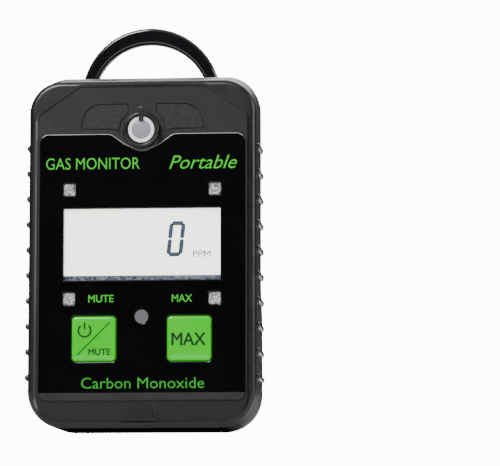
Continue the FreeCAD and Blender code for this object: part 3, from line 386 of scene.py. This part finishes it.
SEAL = Finish("seal_rubber", Surface.MOULDED, srgb(30, 30, 31), srgb(40, 40, 41), 0.8, 0.08,
              2500.0, 0.3)
BOARD = Finish("board_laminate", Surface.GLOSS, srgb(18, 92, 48), srgb(24, 108, 58), 0.35, 0.08,
               1200.0, 0.1, coat=0.3)
CELL = Finish("cell_wrap", Surface.GLOSS, srgb(52, 60, 120), srgb(42, 50, 104), 0.3, 0.05,
              800.0, 0.05, coat=0.4)
CAN = Finish("sensor_can", Surface.MOULDED, srgb(206, 206, 200), srgb(190, 190, 184), 0.5, 0.08,
             2500.0, 0.15)
MILKY = Finish("light_guide", Surface.GLOSS, srgb(232, 232, 226), srgb(222, 222, 214), 0.4,
               0.08, 1500.0, 0.05)
SWITCH = Finish("switch_plastic", Surface.MOULDED, srgb(40, 40, 42), srgb(52, 52, 54), 0.5,
                0.08, 2500.0, 0.2)


# ---------------------------------------------------------------- modelling


class Bench:
    """Ways of making and shaping a mesh, as by hand."""

    @staticmethod
    def clear() -> None:
        """Leave edit mode and deselect everything."""
        if bpy.context.mode != "OBJECT":
            bpy.ops.object.mode_set(mode="OBJECT")
        bpy.ops.object.select_all(action="DESELECT")

    @classmethod
    def settle(cls, piece: Piece, name: str) -> Piece:
        """Name a piece and put its place, turn and size into its mesh."""
        cls.pick(piece)
        bpy.ops.object.transform_apply(location=True, rotation=True, scale=True)
        piece.name = piece.data.name = name
        return piece

    @classmethod
    def pick(cls, piece: Piece) -> None:
        """Select one object and make it active."""
        cls.clear()
        piece.select_set(True)
        bpy.context.view_layer.objects.active = piece

    @classmethod
    def block(cls, name: str, low: Vector, high: Vector) -> Piece:
        """Add a block between two corners."""
        cls.clear()
        bpy.ops.mesh.primitive_cube_add(size=1.0, location=(low + high) / 2)
        piece = bpy.context.object
        piece.scale = high - low
        return cls.settle(piece, name)

    @classmethod
    def disc(cls, node: str, name: str, sides: int = 72) -> tuple[Piece, float]:
        """Add a disc that fills a CAD node's box, choose its front and give its radius too."""
        low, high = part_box(node)
        radius = (high.x - low.x) / 2
        cls.clear()
        bpy.ops.mesh.primitive_cylinder_add(vertices=sides, radius=radius,
                                            depth=high.y - low.y, location=(low + high) / 2,
                                            rotation=(math.pi / 2, 0, 0))
        piece = cls.settle(bpy.context.object, name)
        cls.choose_faces(piece, lambda centre, normal: normal.y < -0.9)
        return piece, radius

    @classmethod
    def _open(cls, piece: Piece, kind: str) -> bmesh.types.BMesh:
        """Enter edit mode with nothing selected and return the mesh to choose from."""
        cls.pick(piece)
        bpy.ops.object.mode_set(mode="EDIT")
        bpy.ops.mesh.select_mode(type=kind)
        bpy.ops.mesh.select_all(action="DESELECT")
        return bmesh.from_edit_mesh(piece.data)

    @classmethod
    def choose_faces(cls, piece: Piece, test: FaceTest) -> None:
        """Enter edit mode with the faces selected whose centre and normal pass a test."""
        shape = cls._open(piece, "FACE")
        for face in shape.faces:
            face.select_set(test(face.calc_center_median(), face.normal))
        bmesh.update_edit_mesh(piece.data)

    @classmethod
    def choose_edges(cls, piece: Piece, test: FaceTest) -> None:
        """Enter edit mode with the edges selected whose middle and direction pass a test."""
        shape = cls._open(piece, "EDGE")
        for edge in shape.edges:
            first, second = (vertex.co for vertex in edge.verts)
            edge.select_set(test((first + second) / 2, (second - first).normalized()))
        bmesh.update_edit_mesh(piece.data)

    @classmethod
    def finish_edit(cls) -> None:
        """Recalculate the normals and leave edit mode."""
        bpy.ops.mesh.select_all(action="SELECT")
        bpy.ops.mesh.remove_doubles(threshold=0.001 * MM)
        bpy.ops.mesh.normals_make_consistent(inside=False)
        cls.clear()

    @classmethod
    def modify(cls, piece: Piece, kind: str, **settings: object) -> None:
        """Add a modifier with its settings and apply it."""
        cls.pick(piece)
        modifier = piece.modifiers.new(kind.lower(), kind)
        for name, value in settings.items():
            setattr(modifier, name, value)
        bpy.ops.object.modifier_apply(modifier=modifier.name)

    @classmethod
    def soften(cls, piece: Piece, width: float, degrees: float = 40.0, segments: int = 2) -> None:
        """Bevel the edges that are sharper than an angle."""
        cls.modify(piece, "BEVEL", width=width, segments=segments, limit_method="ANGLE",
                   angle_limit=math.radians(degrees), use_clamp_overlap=True)

    @classmethod
    def smooth(cls, piece: Piece, degrees: float = 35.0) -> None:
        """Shade a piece smooth, apart from its sharp edges."""
        cls.pick(piece)
        bpy.ops.object.shade_smooth_by_angle(angle=math.radians(degrees))
        cls.modify(piece, "WEIGHTED_NORMAL", keep_sharp=True, weight=80)

    @classmethod
    def copy_of(cls, node: str, name: str) -> Piece:
        """Return a merged copy of a CAD node's mesh."""
        source = bpy.data.objects[node]
        piece = bpy.data.objects.new(name, source.data.copy())
        piece.data.name = name
        bpy.context.scene.collection.objects.link(piece)
        cls.pick(piece)
        piece.data.materials.clear()
        bpy.ops.object.mode_set(mode="EDIT")
        bpy.ops.mesh.select_all(action="SELECT")
        bpy.ops.mesh.remove_doubles(threshold=0.002 * MM)
        bpy.ops.mesh.customdata_custom_splitnormals_clear()
        bpy.ops.mesh.tris_convert_to_quads(face_threshold=0.02, shape_threshold=0.7)
        cls.clear()
        return piece

    @classmethod
    def join(cls, pieces: list[Piece], name: str) -> Piece:
        """Join pieces into one object."""
        cls.clear()
        for piece in pieces:
            piece.select_set(True)
        bpy.context.view_layer.objects.active = pieces[0]
        bpy.ops.object.join()
        joined = bpy.context.object
        joined.name = joined.data.name = name
        return joined


@dataclass
class Assembly:
    """A sub-assembly that dresses its pieces and reports them."""

    body: str = "root"

    def dress(self, piece: Piece, finish: Finish, slot: str,
              replaces: Iterable[str] = (), body: str | None = None,
              degrees: float = 35.0) -> Piece:
        """Give a piece its finish and its place in the frame.

        Args:
            piece: The finished mesh, with its place in it.
            finish: What its surface is.
            slot: Not used.
            replaces: The CAD nodes that it stands for.
            body: The body that it rides on, if not the assembly's own.
            degrees: The angle over which an edge stays sharp.

        Returns:
            The same piece.
        """
        Bench.smooth(piece, degrees)
        piece.data.materials.clear()
        piece.data.materials.append(finish.material())
        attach(piece, body or self.body)
        for node in replaces:
            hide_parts(node)
        LOG.info("%s: %d faces, %s", piece.name, len(piece.data.polygons), finish.name)
        return piece

    @staticmethod
    def trim(piece: Piece, finish: Finish, test: FaceTest) -> None:
        """Give the faces that pass a test a second finish.

        Args:
            piece: A piece that already has its first finish.
            finish: The second finish.
            test: True for a face's centre and normal where the second finish belongs.
        """
        piece.data.materials.append(finish.material())
        Bench.choose_faces(piece, test)
        piece.active_material_index = len(piece.data.materials) - 1
        bpy.ops.object.material_slot_assign()
        Bench.clear()

    @staticmethod
    def carry(**finishes: Finish) -> None:
        """Keep CAD nodes as they are and give each its finish."""
        for node, finish in finishes.items():
            materials = bpy.data.objects[node].data.materials
            materials.clear()
            materials.append(finish.material())
            LOG.info("%s kept: %s", node, finish.name)

    def refine(self, node: str, finish: Finish, slot: str, edge: float = 0.0,
               degrees: float = 35.0, body: str | None = None) -> Piece:
        """Stand a merged copy with softened edges in for a CAD node."""
        piece = Bench.copy_of(node, f"{node}_surface")
        if edge:
            Bench.soften(piece, edge)
        return self.dress(piece, finish, slot, (node,), body, degrees)


@dataclass
class Letters:
    """Lettering made as thin solid print, fitted to a box."""

    lift: float = 0.02 * MM
    thick: float = 0.03 * MM

    def write(self, name: str, words: str, left: float, right: float, low: float, high: float,
              depth: float, bold: float = 0.0, slant: float = 0.0) -> Piece:
        """Write words that fill a box on a surface facing -Y.

        Args:
            name: The new object's name.
            words: What is written.
            left: The lowest X of the print.
            right: The highest X.
            low: The lowest Z.
            high: The highest Z.
            depth: The Y of the surface under the print.
            bold: How much thicker the strokes are than the plain font's.
            slant: The shear of italic letters.

        Returns:
            The printed words as a mesh.
        """
        Bench.clear()
        bpy.ops.object.text_add()
        text = bpy.context.object
        text.data.body = words
        text.data.shear = slant
        text.data.resolution_u = 3
        text.data.extrude = 0.01
        bpy.ops.object.convert(target="MESH")
        text = bpy.context.object
        Bench.choose_faces(text, lambda centre, normal: True)
        bpy.ops.mesh.remove_doubles(threshold=0.0005)
        bpy.ops.mesh.normals_make_consistent(inside=False)
        if bold:
            bpy.ops.transform.shrink_fatten(value=bold)
        Bench.clear()
        corners = [Vector(vertex.co) for vertex in text.data.vertices]
        start = Vector(min(corner[axis] for corner in corners) for axis in range(3))
        stop = Vector(max(corner[axis] for corner in corners) for axis in range(3))
        size = stop - start
        fit = Matrix.Diagonal(((right - left) / size.x, (high - low) / size.y,
                               self.thick / size.z, 1.0))
        text.data.transform(fit @ Matrix.Translation(-start))
        text.data.transform(Matrix.Rotation(math.pi / 2, 4, "X"))
        text.data.transform(Matrix.Translation((left, depth - self.lift + self.thick, low)))
        return Bench.settle(text, name)


# ---------------------------------------------------------------- case


@dataclass
class CaseShells(Assembly):
    """The two shells of the case."""

    rib_proud: float = 0.9 * MM
    rim_start: float = 9.4 * MM
    rim_face: float = 11.95 * MM
    port_half: float = 6.0 * MM
    port_low: float = 70.0 * MM

    def on_rim(self, centre: Vector, normal: Vector) -> bool:
        """Return whether a face belongs to the smooth band round the recessed panel."""
        outside = centre.y < -self.rim_start and normal.y < 0.15
        raised = centre.y < -self.rim_face or normal.y > -0.95
        clear = abs(centre.x) > self.port_half or centre.z < self.port_low
        return outside and raised and clear

    def build(self) -> None:
        """Dress both shells and the hidden fixings."""
        front = self.refine("front_shell", CASE, "case_plastic", degrees=30.0)
        self.trim(front, RIM, self.on_rim)
        rear = self.refine("rear_shell", CASE, "case_plastic", degrees=30.0)
        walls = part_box("rear_shell")[1].x - self.rib_proud
        for shell in (rear, front):
            self.trim(shell, RIB_TIP, lambda centre, normal: abs(centre.x) > walls)
        self.carry(case_gasket=SEAL, case_screws=STEEL, clip_insert=BRASS)


@dataclass
class FrontGraphics(Assembly):
    """The glossy overlay and everything printed on it."""

    bevel: float = 0.24 * MM
    bevel_angle: float = 60.0
    flat_angle: float = 1.0
    highlight_from: float = 73.0 * MM
    ramp_below: float = 9.5 * MM
    vent_edge: float = 0.05 * MM
    letters: Letters = field(default_factory=Letters)

    def build(self) -> None:
        """Build the overlay, the painted highlight on its upper bevel and its print."""
        overlay = Bench.copy_of("graphic_overlay", "graphic_overlay_surface")
        Bench.choose_faces(overlay, lambda centre, normal: True)
        bpy.ops.mesh.dissolve_limited(angle_limit=math.radians(self.flat_angle))
        Bench.clear()
        Bench.modify(overlay, "BEVEL", width=self.bevel, segments=2, limit_method="ANGLE",
                     angle_limit=math.radians(self.bevel_angle), use_clamp_overlap=False,
                     loop_slide=False)
        self.dress(overlay, OVERLAY, "overlay_gloss", ("graphic_overlay",),
                   degrees=self.flat_angle)
        # Painted highlight: the upward-facing bevel faces near the top get the pale grey.
        self.trim(overlay, EDGE_HIGHLIGHT, lambda centre, normal: centre.z > self.highlight_from
                  and normal.z > 0.25 and normal.y < -0.2)
        self.trim(overlay, RAMP, lambda centre, normal: centre.z < self.ramp_below
                  and normal.z < -0.1 and normal.y < -0.3)
        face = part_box("graphic_overlay")[0].y
        for name, words, left, right, base, top, bold, slant, finish in (
            ("wordmark_left", "GAS MONITOR", -25.6, -0.6, 68.6, 71.7, 0.0, 0.0, LABEL_GREEN),
            ("wordmark_right", "Portable", 7.2, 25.2, 68.5, 72.1, 0.0, 0.35, LABEL_GREEN),
            ("mute_label", "MUTE", -14.1, -7.4, 33.2, 35.2, 0.024, 0.0, LABEL_GREEN),
            ("max_label", "MAX", 8.0, 13.4, 33.2, 35.2, 0.024, 0.0, LABEL_GREEN),
            ("gas_label", "Carbon Monoxide", -15.9, 16.6, 10.5, 13.4, 0.0, 0.0, PRINT_GREEN),
        ):
            piece = self.letters.write(name, words, left * MM, right * MM, base * MM, top * MM,
                                       face, bold, slant)
            self.dress(piece, finish, "overlay_gloss")
        vent = self._vent()
        self.dress(vent, VENT, "vent_felt", ("sounder_vent",))

    def _vent(self) -> Piece:
        """Return the round vent membrane, slightly dished inside a rolled rim."""
        vent, radius = Bench.disc("sounder_vent", "sounder_vent_disc", 48)
        bpy.ops.mesh.inset(thickness=0.1 * radius, depth=0.0)
        bpy.ops.mesh.inset(thickness=0.12 * radius, depth=-0.05 * MM)
        Bench.finish_edit()
        Bench.soften(vent, self.vent_edge)
        return vent


# ---------------------------------------------------------------- display


@dataclass
class Display(Assembly):
    """The liquid crystal display behind its clear window."""

    digit_left: float = 6.3 * MM
    digit_right: float = 10.6 * MM
    digit_low: float = 45.4 * MM
    digit_high: float = 54.8 * MM
    stroke: float = 1.12 * MM
    slant: float = 0.10
    ledge_tall: float = 1.35 * MM
    print_lift: float = 0.03 * MM
    face_edge: float = 0.15 * MM
    ledge_edge: float = 0.1 * MM
    window_edge: float = 0.12 * MM
    letters: Letters = field(default_factory=Letters)

    def build(self) -> None:
        """Build the face, the strip of painted shade and glints along the window's lower edge, the
        digit, the unit and the window.
        """
        low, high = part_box("lcd_glass")
        window_low, window_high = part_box("lcd_window")
        face = Bench.block("display_face", low, high)
        Bench.soften(face, self.face_edge)
        self.dress(face, DISPLAY_FACE, "display_glass", ("lcd_glass",))
        # A dark strip along the window's lower edge: painted shade with painted glints.
        ledge = Bench.block("contact_ledge",
                            Vector((window_low.x, low.y - 0.35 * MM, window_low.z)),
                            Vector((window_high.x, low.y - 0.02 * MM,
                                    window_low.z + self.ledge_tall)))
        Bench.soften(ledge, self.ledge_edge)
        self.dress(ledge, SHADE_AND_GLINT_LEDGE, "display_glass")
        surface = low.y - self.print_lift
        self.dress(self._zero(surface), SEGMENT, "display_glass")
        unit = self.letters.write("unit_label", "PPM", 13.4 * MM, 18.1 * MM, 45.2 * MM,
                                  46.9 * MM, surface, 0.01)
        self.dress(unit, UNIT_INK, "display_glass")
        window = Bench.block("display_window", window_low, window_high)
        Bench.soften(window, self.window_edge)
        self.dress(window, WINDOW, "clear_window", ("lcd_window",))
        self.carry(lcd_backlight=MILKY, lower_contact_strip=SEAL, upper_contact_strip=SEAL)

    def _bar(self, name: str, start: Vector, length: float, upright: bool, depth: float) -> Piece:
        """Return one six-sided segment that runs right or up from its start."""
        Bench.clear()
        bpy.ops.mesh.primitive_cylinder_add(vertices=6, radius=self.stroke * 0.58,
                                            depth=self.print_lift)
        bar = bpy.context.object
        Bench.choose_faces(bar, lambda centre, normal: False)
        bpy.ops.mesh.select_mode(type="VERT")
        shape = bmesh.from_edit_mesh(bar.data)
        for vertex in shape.verts:
            vertex.select_set(vertex.co.y > 0.1 * self.stroke)
        bmesh.update_edit_mesh(bar.data)
        bpy.ops.transform.translate(value=(0.0, length, 0.0))
        Bench.clear()
        turn = 0.0 if upright else -math.pi / 2
        bar.data.transform(Matrix.Rotation(turn, 4, "Z"))
        bar.data.transform(Matrix.Rotation(math.pi / 2, 4, "X"))
        bar.data.transform(Matrix.Translation((start.x, depth, start.z)))
        return Bench.settle(bar, name)

    def _zero(self, depth: float) -> Piece:
        """Return the digit 0 as six slanted segments joined in one piece."""
        half = self.stroke / 2
        left, right = self.digit_left + half, self.digit_right - half
        low, high = self.digit_low + half, self.digit_high - half
        middle = (low + high) / 2
        gap = 0.62 * self.stroke
        wide, tall = right - left - 2 * gap, middle - low - 2 * gap
        bars = [
            self._bar(f"segment_{i}", Vector((x, 0.0, z)), length, upright, depth)
            for i, (x, z, length, upright) in enumerate((
                (left + gap, low, wide, False), (left + gap, high, wide, False),
                (left, low + gap, tall, True), (left, middle + gap, tall, True),
                (right, low + gap, tall, True), (right, middle + gap, tall, True)))
        ]
        digit = Bench.join(bars, "digit_zero")
        lean = Matrix.Identity(4)
        lean[0][2] = self.slant
        lean[0][3] = -self.slant * self.digit_low
        digit.data.transform(lean)
        return digit


@dataclass
class AlarmLights(Assembly):
    """The four alarm lamps at the corners of the display."""

    corner: float = 0.5 * MM
    corner_angle: float = 80.0
    cup_start: float = 0.5 * MM
    lens_thick: float = 0.45 * MM

    def build(self) -> None:
        """Build each lens with a lamp cup of painted glints behind its clear face."""
        for number in range(1, 5):
            node = f"alarm_lens_{number}"
            low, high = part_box(node)
            cup = Bench.block(f"alarm_cup_{number}",
                              Vector((low.x, low.y + self.cup_start, low.z)), high)
            Bench.soften(cup, self.corner, self.corner_angle, 4)
            Bench.choose_faces(cup, lambda centre, normal: normal.y < -0.9)
            bpy.ops.mesh.inset(thickness=0.35 * MM, depth=-0.3 * MM)
            bpy.ops.mesh.inset(thickness=0.45 * MM, depth=0.2 * MM)
            Bench.finish_edit()
            self.dress(cup, LAMP_PAINTED_GLINTS, "clear_window")
            lens = Bench.block(f"alarm_window_{number}", low,
                               Vector((high.x, low.y + self.lens_thick, high.z)))
            Bench.soften(lens, self.corner, self.corner_angle, 4)
            self.dress(lens, WINDOW, "clear_window", (node,))
            self.carry(**{f"alarm_lamp_{number}": MILKY})


# ---------------------------------------------------------------- keys


@dataclass
class Key(Assembly):
    """One square green key with its legend."""

    node: str = "max_key"
    flange: float = 0.7 * MM
    corner: float = 1.0 * MM
    crown: float = 0.45 * MM
    peak: float = 0.02 * MM
    bold: float = 0.036
    print_ahead: float = 0.3 * MM
    print_gap: float = 0.025 * MM
    print_thick: float = 0.02 * MM
    steps: tuple[tuple[float, float], ...] = ((0.975, 0.30), (0.965, 0.24), (0.95, 0.16),
                                              (0.85, 0.14), (0.75, 0.10), (0.55, 0.04))
    letters: Letters = field(default_factory=Letters)

    def build(self) -> None:
        """Build the cap and print its legend on the crown."""
        low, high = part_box(self.node)
        inner = Vector((self.flange, 0.0, self.flange))
        cap = Bench.block(f"{self.node}_cap", low + inner, high - inner)
        Bench.choose_edges(cap, lambda middle, along: abs(along.y) > 0.9)
        bpy.ops.mesh.bevel(offset=self.corner, segments=8, affect="EDGES")
        Bench.finish_edit()
        Bench.choose_faces(cap, lambda centre, normal: normal.y < -0.9)
        bpy.ops.transform.translate(value=(0.0, self.crown, 0.0))
        middle = (low + high) / 2
        for size, rise in self.steps:
            bpy.ops.mesh.extrude_region_move(
                TRANSFORM_OT_translate={"value": (0.0, -rise * self.crown, 0.0)})
            bpy.ops.transform.resize(value=(size, 1.0, size), center_override=middle)
        bpy.ops.mesh.poke(offset=self.peak)
        Bench.finish_edit()
        self.dress(cap, KEY_GREEN, "key_green", degrees=80.0)
        skirt = Bench.copy_of(self.node, f"{self.node}_skirt")
        Bench.pick(skirt)
        bpy.ops.object.mode_set(mode="EDIT")
        bpy.ops.mesh.select_all(action="SELECT")
        bpy.ops.mesh.bisect(plane_co=(0.0, high.y - self.flange, 0.0), plane_no=(0, 1, 0),
                            clear_inner=True, use_fill=True)
        Bench.finish_edit()
        self.dress(skirt, KEY_GREEN, "key_green", (self.node,))
        for piece in self.legend((low + high) / 2, low.y):
            Bench.modify(piece, "SHRINKWRAP", target=cap, wrap_method="PROJECT",
                         use_project_y=True, use_negative_direction=True,
                         use_positive_direction=True, offset=self.print_gap)
            Bench.modify(piece, "SOLIDIFY", thickness=self.print_thick, offset=-1.0)
            self.dress(piece, KEY_INK, "key_green")

    def flat(self, name: str, words: str, centre: Vector, box: tuple[float, float, float, float],
             depth: float) -> Piece:
        """Write words as one flat sheet of faces in front of the key's crown.

        Args:
            name: The new object's name.
            words: What is written.
            centre: The key's centre.
            box: Left, right, low and high about that centre, in millimetres.
            depth: The Y of the key's highest point.

        Returns:
            The flat letters.
        """
        left, right, low, high = (value * MM for value in box)
        piece = self.letters.write(name, words, centre.x + left, centre.x + right,
                                   centre.z + low, centre.z + high,
                                   depth - self.print_ahead, self.bold)
        Bench.choose_faces(piece, lambda middle, normal: normal.y > -0.5)
        bpy.ops.mesh.delete(type="FACE")
        Bench.clear()
        return piece

    def legend(self, centre: Vector, depth: float) -> list[Piece]:
        """Return the flat print of the key."""
        return [self.flat("max_legend", "MAX", centre, (-4.6, 4.5, -1.9, 1.5), depth)]


@dataclass
class PowerKey(Key):
    """The left key, with a power sign above a slanting line and a word below it."""

    node: str = "power_key"
    sign_radius: float = 1.65 * MM
    sign_stroke: float = 0.42 * MM
    sign_left: float = 2.35 * MM
    sign_up: float = 2.15 * MM
    sign_opening: float = 38.0
    bar_up: float = 1.25 * MM
    bar_reach: float = 0.95 * MM
    line_reach: float = 6.1 * MM
    line_wide: float = 0.26 * MM

    def legend(self, centre: Vector, depth: float) -> list[Piece]:
        """Return the word, the slanting line and the power sign."""
        word = self.flat("mute_legend", "MUTE", centre, (-1.3, 4.5, -4.4, -2.6), depth)
        line = self._stroke("key_line", centre, depth, self.line_reach, self.line_wide)
        middle = centre + Vector((-self.sign_left, 0.0, self.sign_up))
        upper = middle + Vector((0.0, 0.0, self.bar_up))
        bar = self._stroke("sign_bar", upper, depth, self.bar_reach, self.sign_stroke)
        self._turn(line, centre, -45.0)
        self._turn(bar, upper, 90.0)
        return [word, line, bar, self._arc(middle, depth - self.print_ahead)]

    @staticmethod
    def _turn(piece: Piece, centre: Vector, degrees: float) -> None:
        """Turn a flat piece about a point of the key's face."""
        for step in (Matrix.Translation(-centre),
                     Matrix.Rotation(math.radians(degrees), 4, "Y"), Matrix.Translation(centre)):
            piece.data.transform(step)

    def _stroke(self, name: str, centre: Vector, depth: float, reach: float, wide: float) -> Piece:
        """Return a level stroke of flat faces, divided along its length."""
        Bench.clear()
        bpy.ops.mesh.primitive_grid_add(x_subdivisions=24, y_subdivisions=1, size=1.0,
                                        rotation=(math.pi / 2, 0, 0),
                                        location=(centre.x, depth - self.print_ahead,
                                                  centre.z))
        stroke = bpy.context.object
        stroke.scale = (2 * reach, wide, 1.0)
        return Bench.settle(stroke, name)

    def _arc(self, centre: Vector, depth: float) -> Piece:
        """Return the open ring of the power sign, spun from one short edge."""
        Bench.clear()
        bpy.ops.mesh.primitive_plane_add(size=1.0, rotation=(math.pi / 2, 0, 0),
                                         location=(centre.x, depth, centre.z))
        arc = Bench.settle(bpy.context.object, "sign_arc")
        inner, outer = (self.sign_radius + side * self.sign_stroke / 2 for side in (-1, 1))
        opening = math.radians(self.sign_opening)
        Bench.choose_faces(arc, lambda middle, normal: True)
        shape = bmesh.from_edit_mesh(arc.data)
        ends = []
        for radius in (inner, outer):
            ends.append(shape.verts.new((centre.x + radius * math.sin(opening), depth,
                                         centre.z + radius * math.cos(opening))))
        edge = shape.edges.new(ends)
        bmesh.ops.delete(shape, geom=list(shape.faces), context="FACES")
        for loose in list(shape.verts):
            if loose not in ends:
                shape.verts.remove(loose)
        edge.select_set(True)
        bmesh.update_edit_mesh(arc.data)
        bpy.ops.mesh.select_mode(type="EDGE")
        bpy.ops.mesh.select_all(action="SELECT")
        bpy.ops.mesh.spin(steps=40, angle=2 * (math.pi - opening), center=centre,
                          axis=(0, -1, 0))
        bpy.ops.mesh.select_all(action="SELECT")
        bpy.ops.mesh.remove_doubles(threshold=0.001 * MM)
        Bench.clear()
        return arc


# ---------------------------------------------------------------- gas port


@dataclass
class GasPort(Assembly):
    """The turning cap over the gas port with its bright ring, filter and pointer."""

    body: str = "port_cap"
    edge: float = 0.08 * MM
    ring_edge: float = 0.05 * MM

    def build(self) -> None:
        """Build the cap's pieces."""
        self.refine("sensor_cap", CAP, "cap_plastic", self.edge)
        self._bezel()
        self._filter()
        self.carry(port_seal=SEAL, gas_sensor=CAN)

    def _bezel(self) -> None:
        """Build the ring round the filter, dished towards its middle; its near-white colour and
        glow are a painted reflection.
        """
        ring, radius = Bench.disc("cap_bezel", "port_bright_ring")
        bpy.ops.mesh.inset(thickness=0.12 * radius, depth=0.0)
        bpy.ops.mesh.inset(thickness=0.14 * radius, depth=-0.14 * MM)
        bpy.ops.mesh.inset(thickness=0.02 * radius, depth=-0.25 * MM)
        Bench.finish_edit()
        Bench.soften(ring, self.ring_edge)
        self.dress(ring, PAINTED_RING_REFLECTION, "bright_ring", ("cap_bezel",))

    def _filter(self) -> None:
        """Build the domed gauze disc, raised by steps that smooth into a crown."""
        dome, radius = Bench.disc("filter_disc", "port_filter")
        for inset, rise in ((0.1, 0.12), (0.18, 0.1), (0.25, 0.07), (0.25, 0.03)):
            bpy.ops.mesh.inset(thickness=inset * radius, depth=rise * MM)
        Bench.finish_edit()
        self.dress(dome, FILTER, "vent_felt", ("filter_disc",), degrees=60.0)


# ---------------------------------------------------------------- clip and ring


@dataclass
class BeltClip(Assembly):
    """The sheet-metal clip on the back of the case."""

    body: str = "clip"
    edge: float = 0.14 * MM
    pin_edge: float = 0.08 * MM
    screw_edge: float = 0.05 * MM

    def build(self) -> None:
        """Soften the sheet-metal edges and dress each piece."""
        self.refine("clip_base", OXIDE, "black_oxide", self.edge)
        self.refine("clip_pin", NICKEL, "contact_nickel", self.pin_edge)
        self.carry(clip_spring=NICKEL)
        # Painted reflection: the jaw, the same dark metal as the base, gets pale nickel for the
        # light its upturned plate reflects.
        self.refine("clip_jaw", NICKEL, "contact_nickel", self.edge, body="jaw")
        self.refine("clip_lever", OXIDE, "black_oxide", self.edge, body="lever")
        self.refine("clip_screw", STEEL, "screw_steel", self.screw_edge, body="root")


@dataclass
class HangRing(Assembly):
    """The enamelled hanging ring."""

    body: str = "ring"

    def build(self) -> None:
        """Dress the ring."""
        self.refine("hang_ring", RING, "ring_enamel", degrees=50.0)


@dataclass
class InnerWorks(Assembly):
    """The pieces inside the case, which stay as the CAD model has them."""

    def build(self) -> None:
        """Dress every inner piece."""
        self.carry(keypad_membrane=SEAL, power_switch=SWITCH, max_switch=SWITCH,
                   sounder=SWITCH, main_board=BOARD, battery=CELL, positive_contact=NICKEL,
                   negative_contact=NICKEL, vibration_motor=NICKEL)


# ---------------------------------------------------------------- studio


@dataclass
class Studio:
    """The floor, the lights and the camera."""

    azimuth: float = 6.6
    elevation: float = -7.0
    distance: float = 0.80
    frame_wide: float = 0.1340
    sensor: float = 36.0
    aim_right: float = 0.0276
    aim_up: float = -0.0017
    subject_height: float = 0.0548
    backdrop: float = 16.0
    floor_grey: float = 0.86

    def build(self) -> None:
        """Build all of the studio."""
        self._floor()
        self._sky()
        self._light("key_light", Vector((-0.3, -0.7, 0.62)), 0.35, 8.0)
        self._light("side_light", Vector((0.75, -0.2, 0.3)), 0.4, 2.5)
        self._light("rim_light", Vector((0.1, 0.55, 0.6)), 0.5, 4.0)
        self._camera()

    def _floor(self) -> None:
        """Add a pale floor that is seen only from above."""
        Bench.clear()
        bpy.ops.mesh.primitive_plane_add(size=6.0)
        floor = bpy.context.object
        floor.name = "floor"
        material = bpy.data.materials.new("pale_floor")
        material.use_nodes = True
        tree = material.node_tree
        shader = tree.nodes["Principled BSDF"]
        shader.inputs["Base Color"].default_value = (*(self.floor_grey,) * 3, 1.0)
        shader.inputs["Roughness"].default_value = 0.7
        side, clear, mix = (add(tree, kind)
                            for kind in ("NewGeometry", "BsdfTransparent", "MixShader"))
        wire(tree, (side, "Backfacing", mix, "Fac"), (shader, "BSDF", mix, 1),
             (clear, "BSDF", mix, 2),
             (mix, "Shader", tree.nodes["Material Output"], "Surface"))
        floor.data.materials.append(material)

    def _sky(self) -> None:
        """Set soft light from all round that is brighter from above and plain white behind."""
        world = bpy.data.worlds.new("studio_white")
        bpy.context.scene.world = world
        world.use_nodes = True
        tree = world.node_tree
        tree.nodes.clear()
        end, place, split = (add(tree, kind)
                             for kind in ("OutputWorld", "TexCoord", "SeparateXYZ"))
        rise = add(tree, "MapRange", From_Min=0.1, From_Max=0.95, To_Min=0.03, To_Max=0.9)
        soft, rays, mix = (add(tree, kind) for kind in ("Background", "LightPath", "MixShader"))
        white = add(tree, "Background", Strength=self.backdrop)
        wire(tree, (place, "Generated", split, "Vector"), (split, "Z", rise, "Value"),
             (rise, "Result", soft, "Strength"), (rays, "Is Camera Ray", mix, "Fac"),
             (soft, "Background", mix, 1), (white, "Background", mix, 2),
             (mix, "Shader", end, "Surface"))

    def _light(self, name: str, place: Vector, size: float, power: float) -> None:
        """Add a soft square light that faces the middle of the object."""
        light = bpy.data.lights.new(name, "AREA")
        light.size = size
        light.energy = power
        lamp = bpy.data.objects.new(name, light)
        bpy.context.scene.collection.objects.link(lamp)
        lamp.location = place
        target = Vector((0.0, 0.0, self.subject_height))
        lamp.rotation_euler = (target - place).to_track_quat("-Z", "Y").to_euler()

    def _camera(self) -> None:
        """Add the camera, looking past the object so that it stands left of the middle."""
        turn, tilt = math.radians(self.azimuth), math.radians(self.elevation)
        back = Vector((math.sin(turn) * math.cos(tilt), -math.cos(turn) * math.cos(tilt),
                       math.sin(tilt)))
        right = Vector((math.cos(turn), math.sin(turn), 0.0))
        up = back.cross(right)
        subject = Vector((0.0, 0.0, self.subject_height))
        data = bpy.data.cameras.new("camera")
        data.sensor_width = self.sensor
        data.lens = self.sensor * self.distance / self.frame_wide
        data.clip_start, data.clip_end = 0.01, 20.0
        camera = bpy.data.objects.new("camera", data)
        bpy.context.scene.collection.objects.link(camera)
        camera.location = subject + back * self.distance
        aim = subject + right * self.aim_right + up * self.aim_up
        camera.rotation_euler = (aim - camera.location).to_track_quat("-Z", "Y").to_euler()
        bpy.context.scene.camera = camera


def main() -> None:
    """Build the detector round the CAD frame."""
    logging.basicConfig(level=logging.INFO, format="%(message)s")
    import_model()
    for assembly in (CaseShells(), FrontGraphics(), Display(), AlarmLights(),
                     PowerKey(body="power_key"), Key(body="max_key"), GasPort(), BeltClip(),
                     HangRing(), InnerWorks()):
        assembly.build()
    Studio().build()


if __name__ == "__main__":
    main()
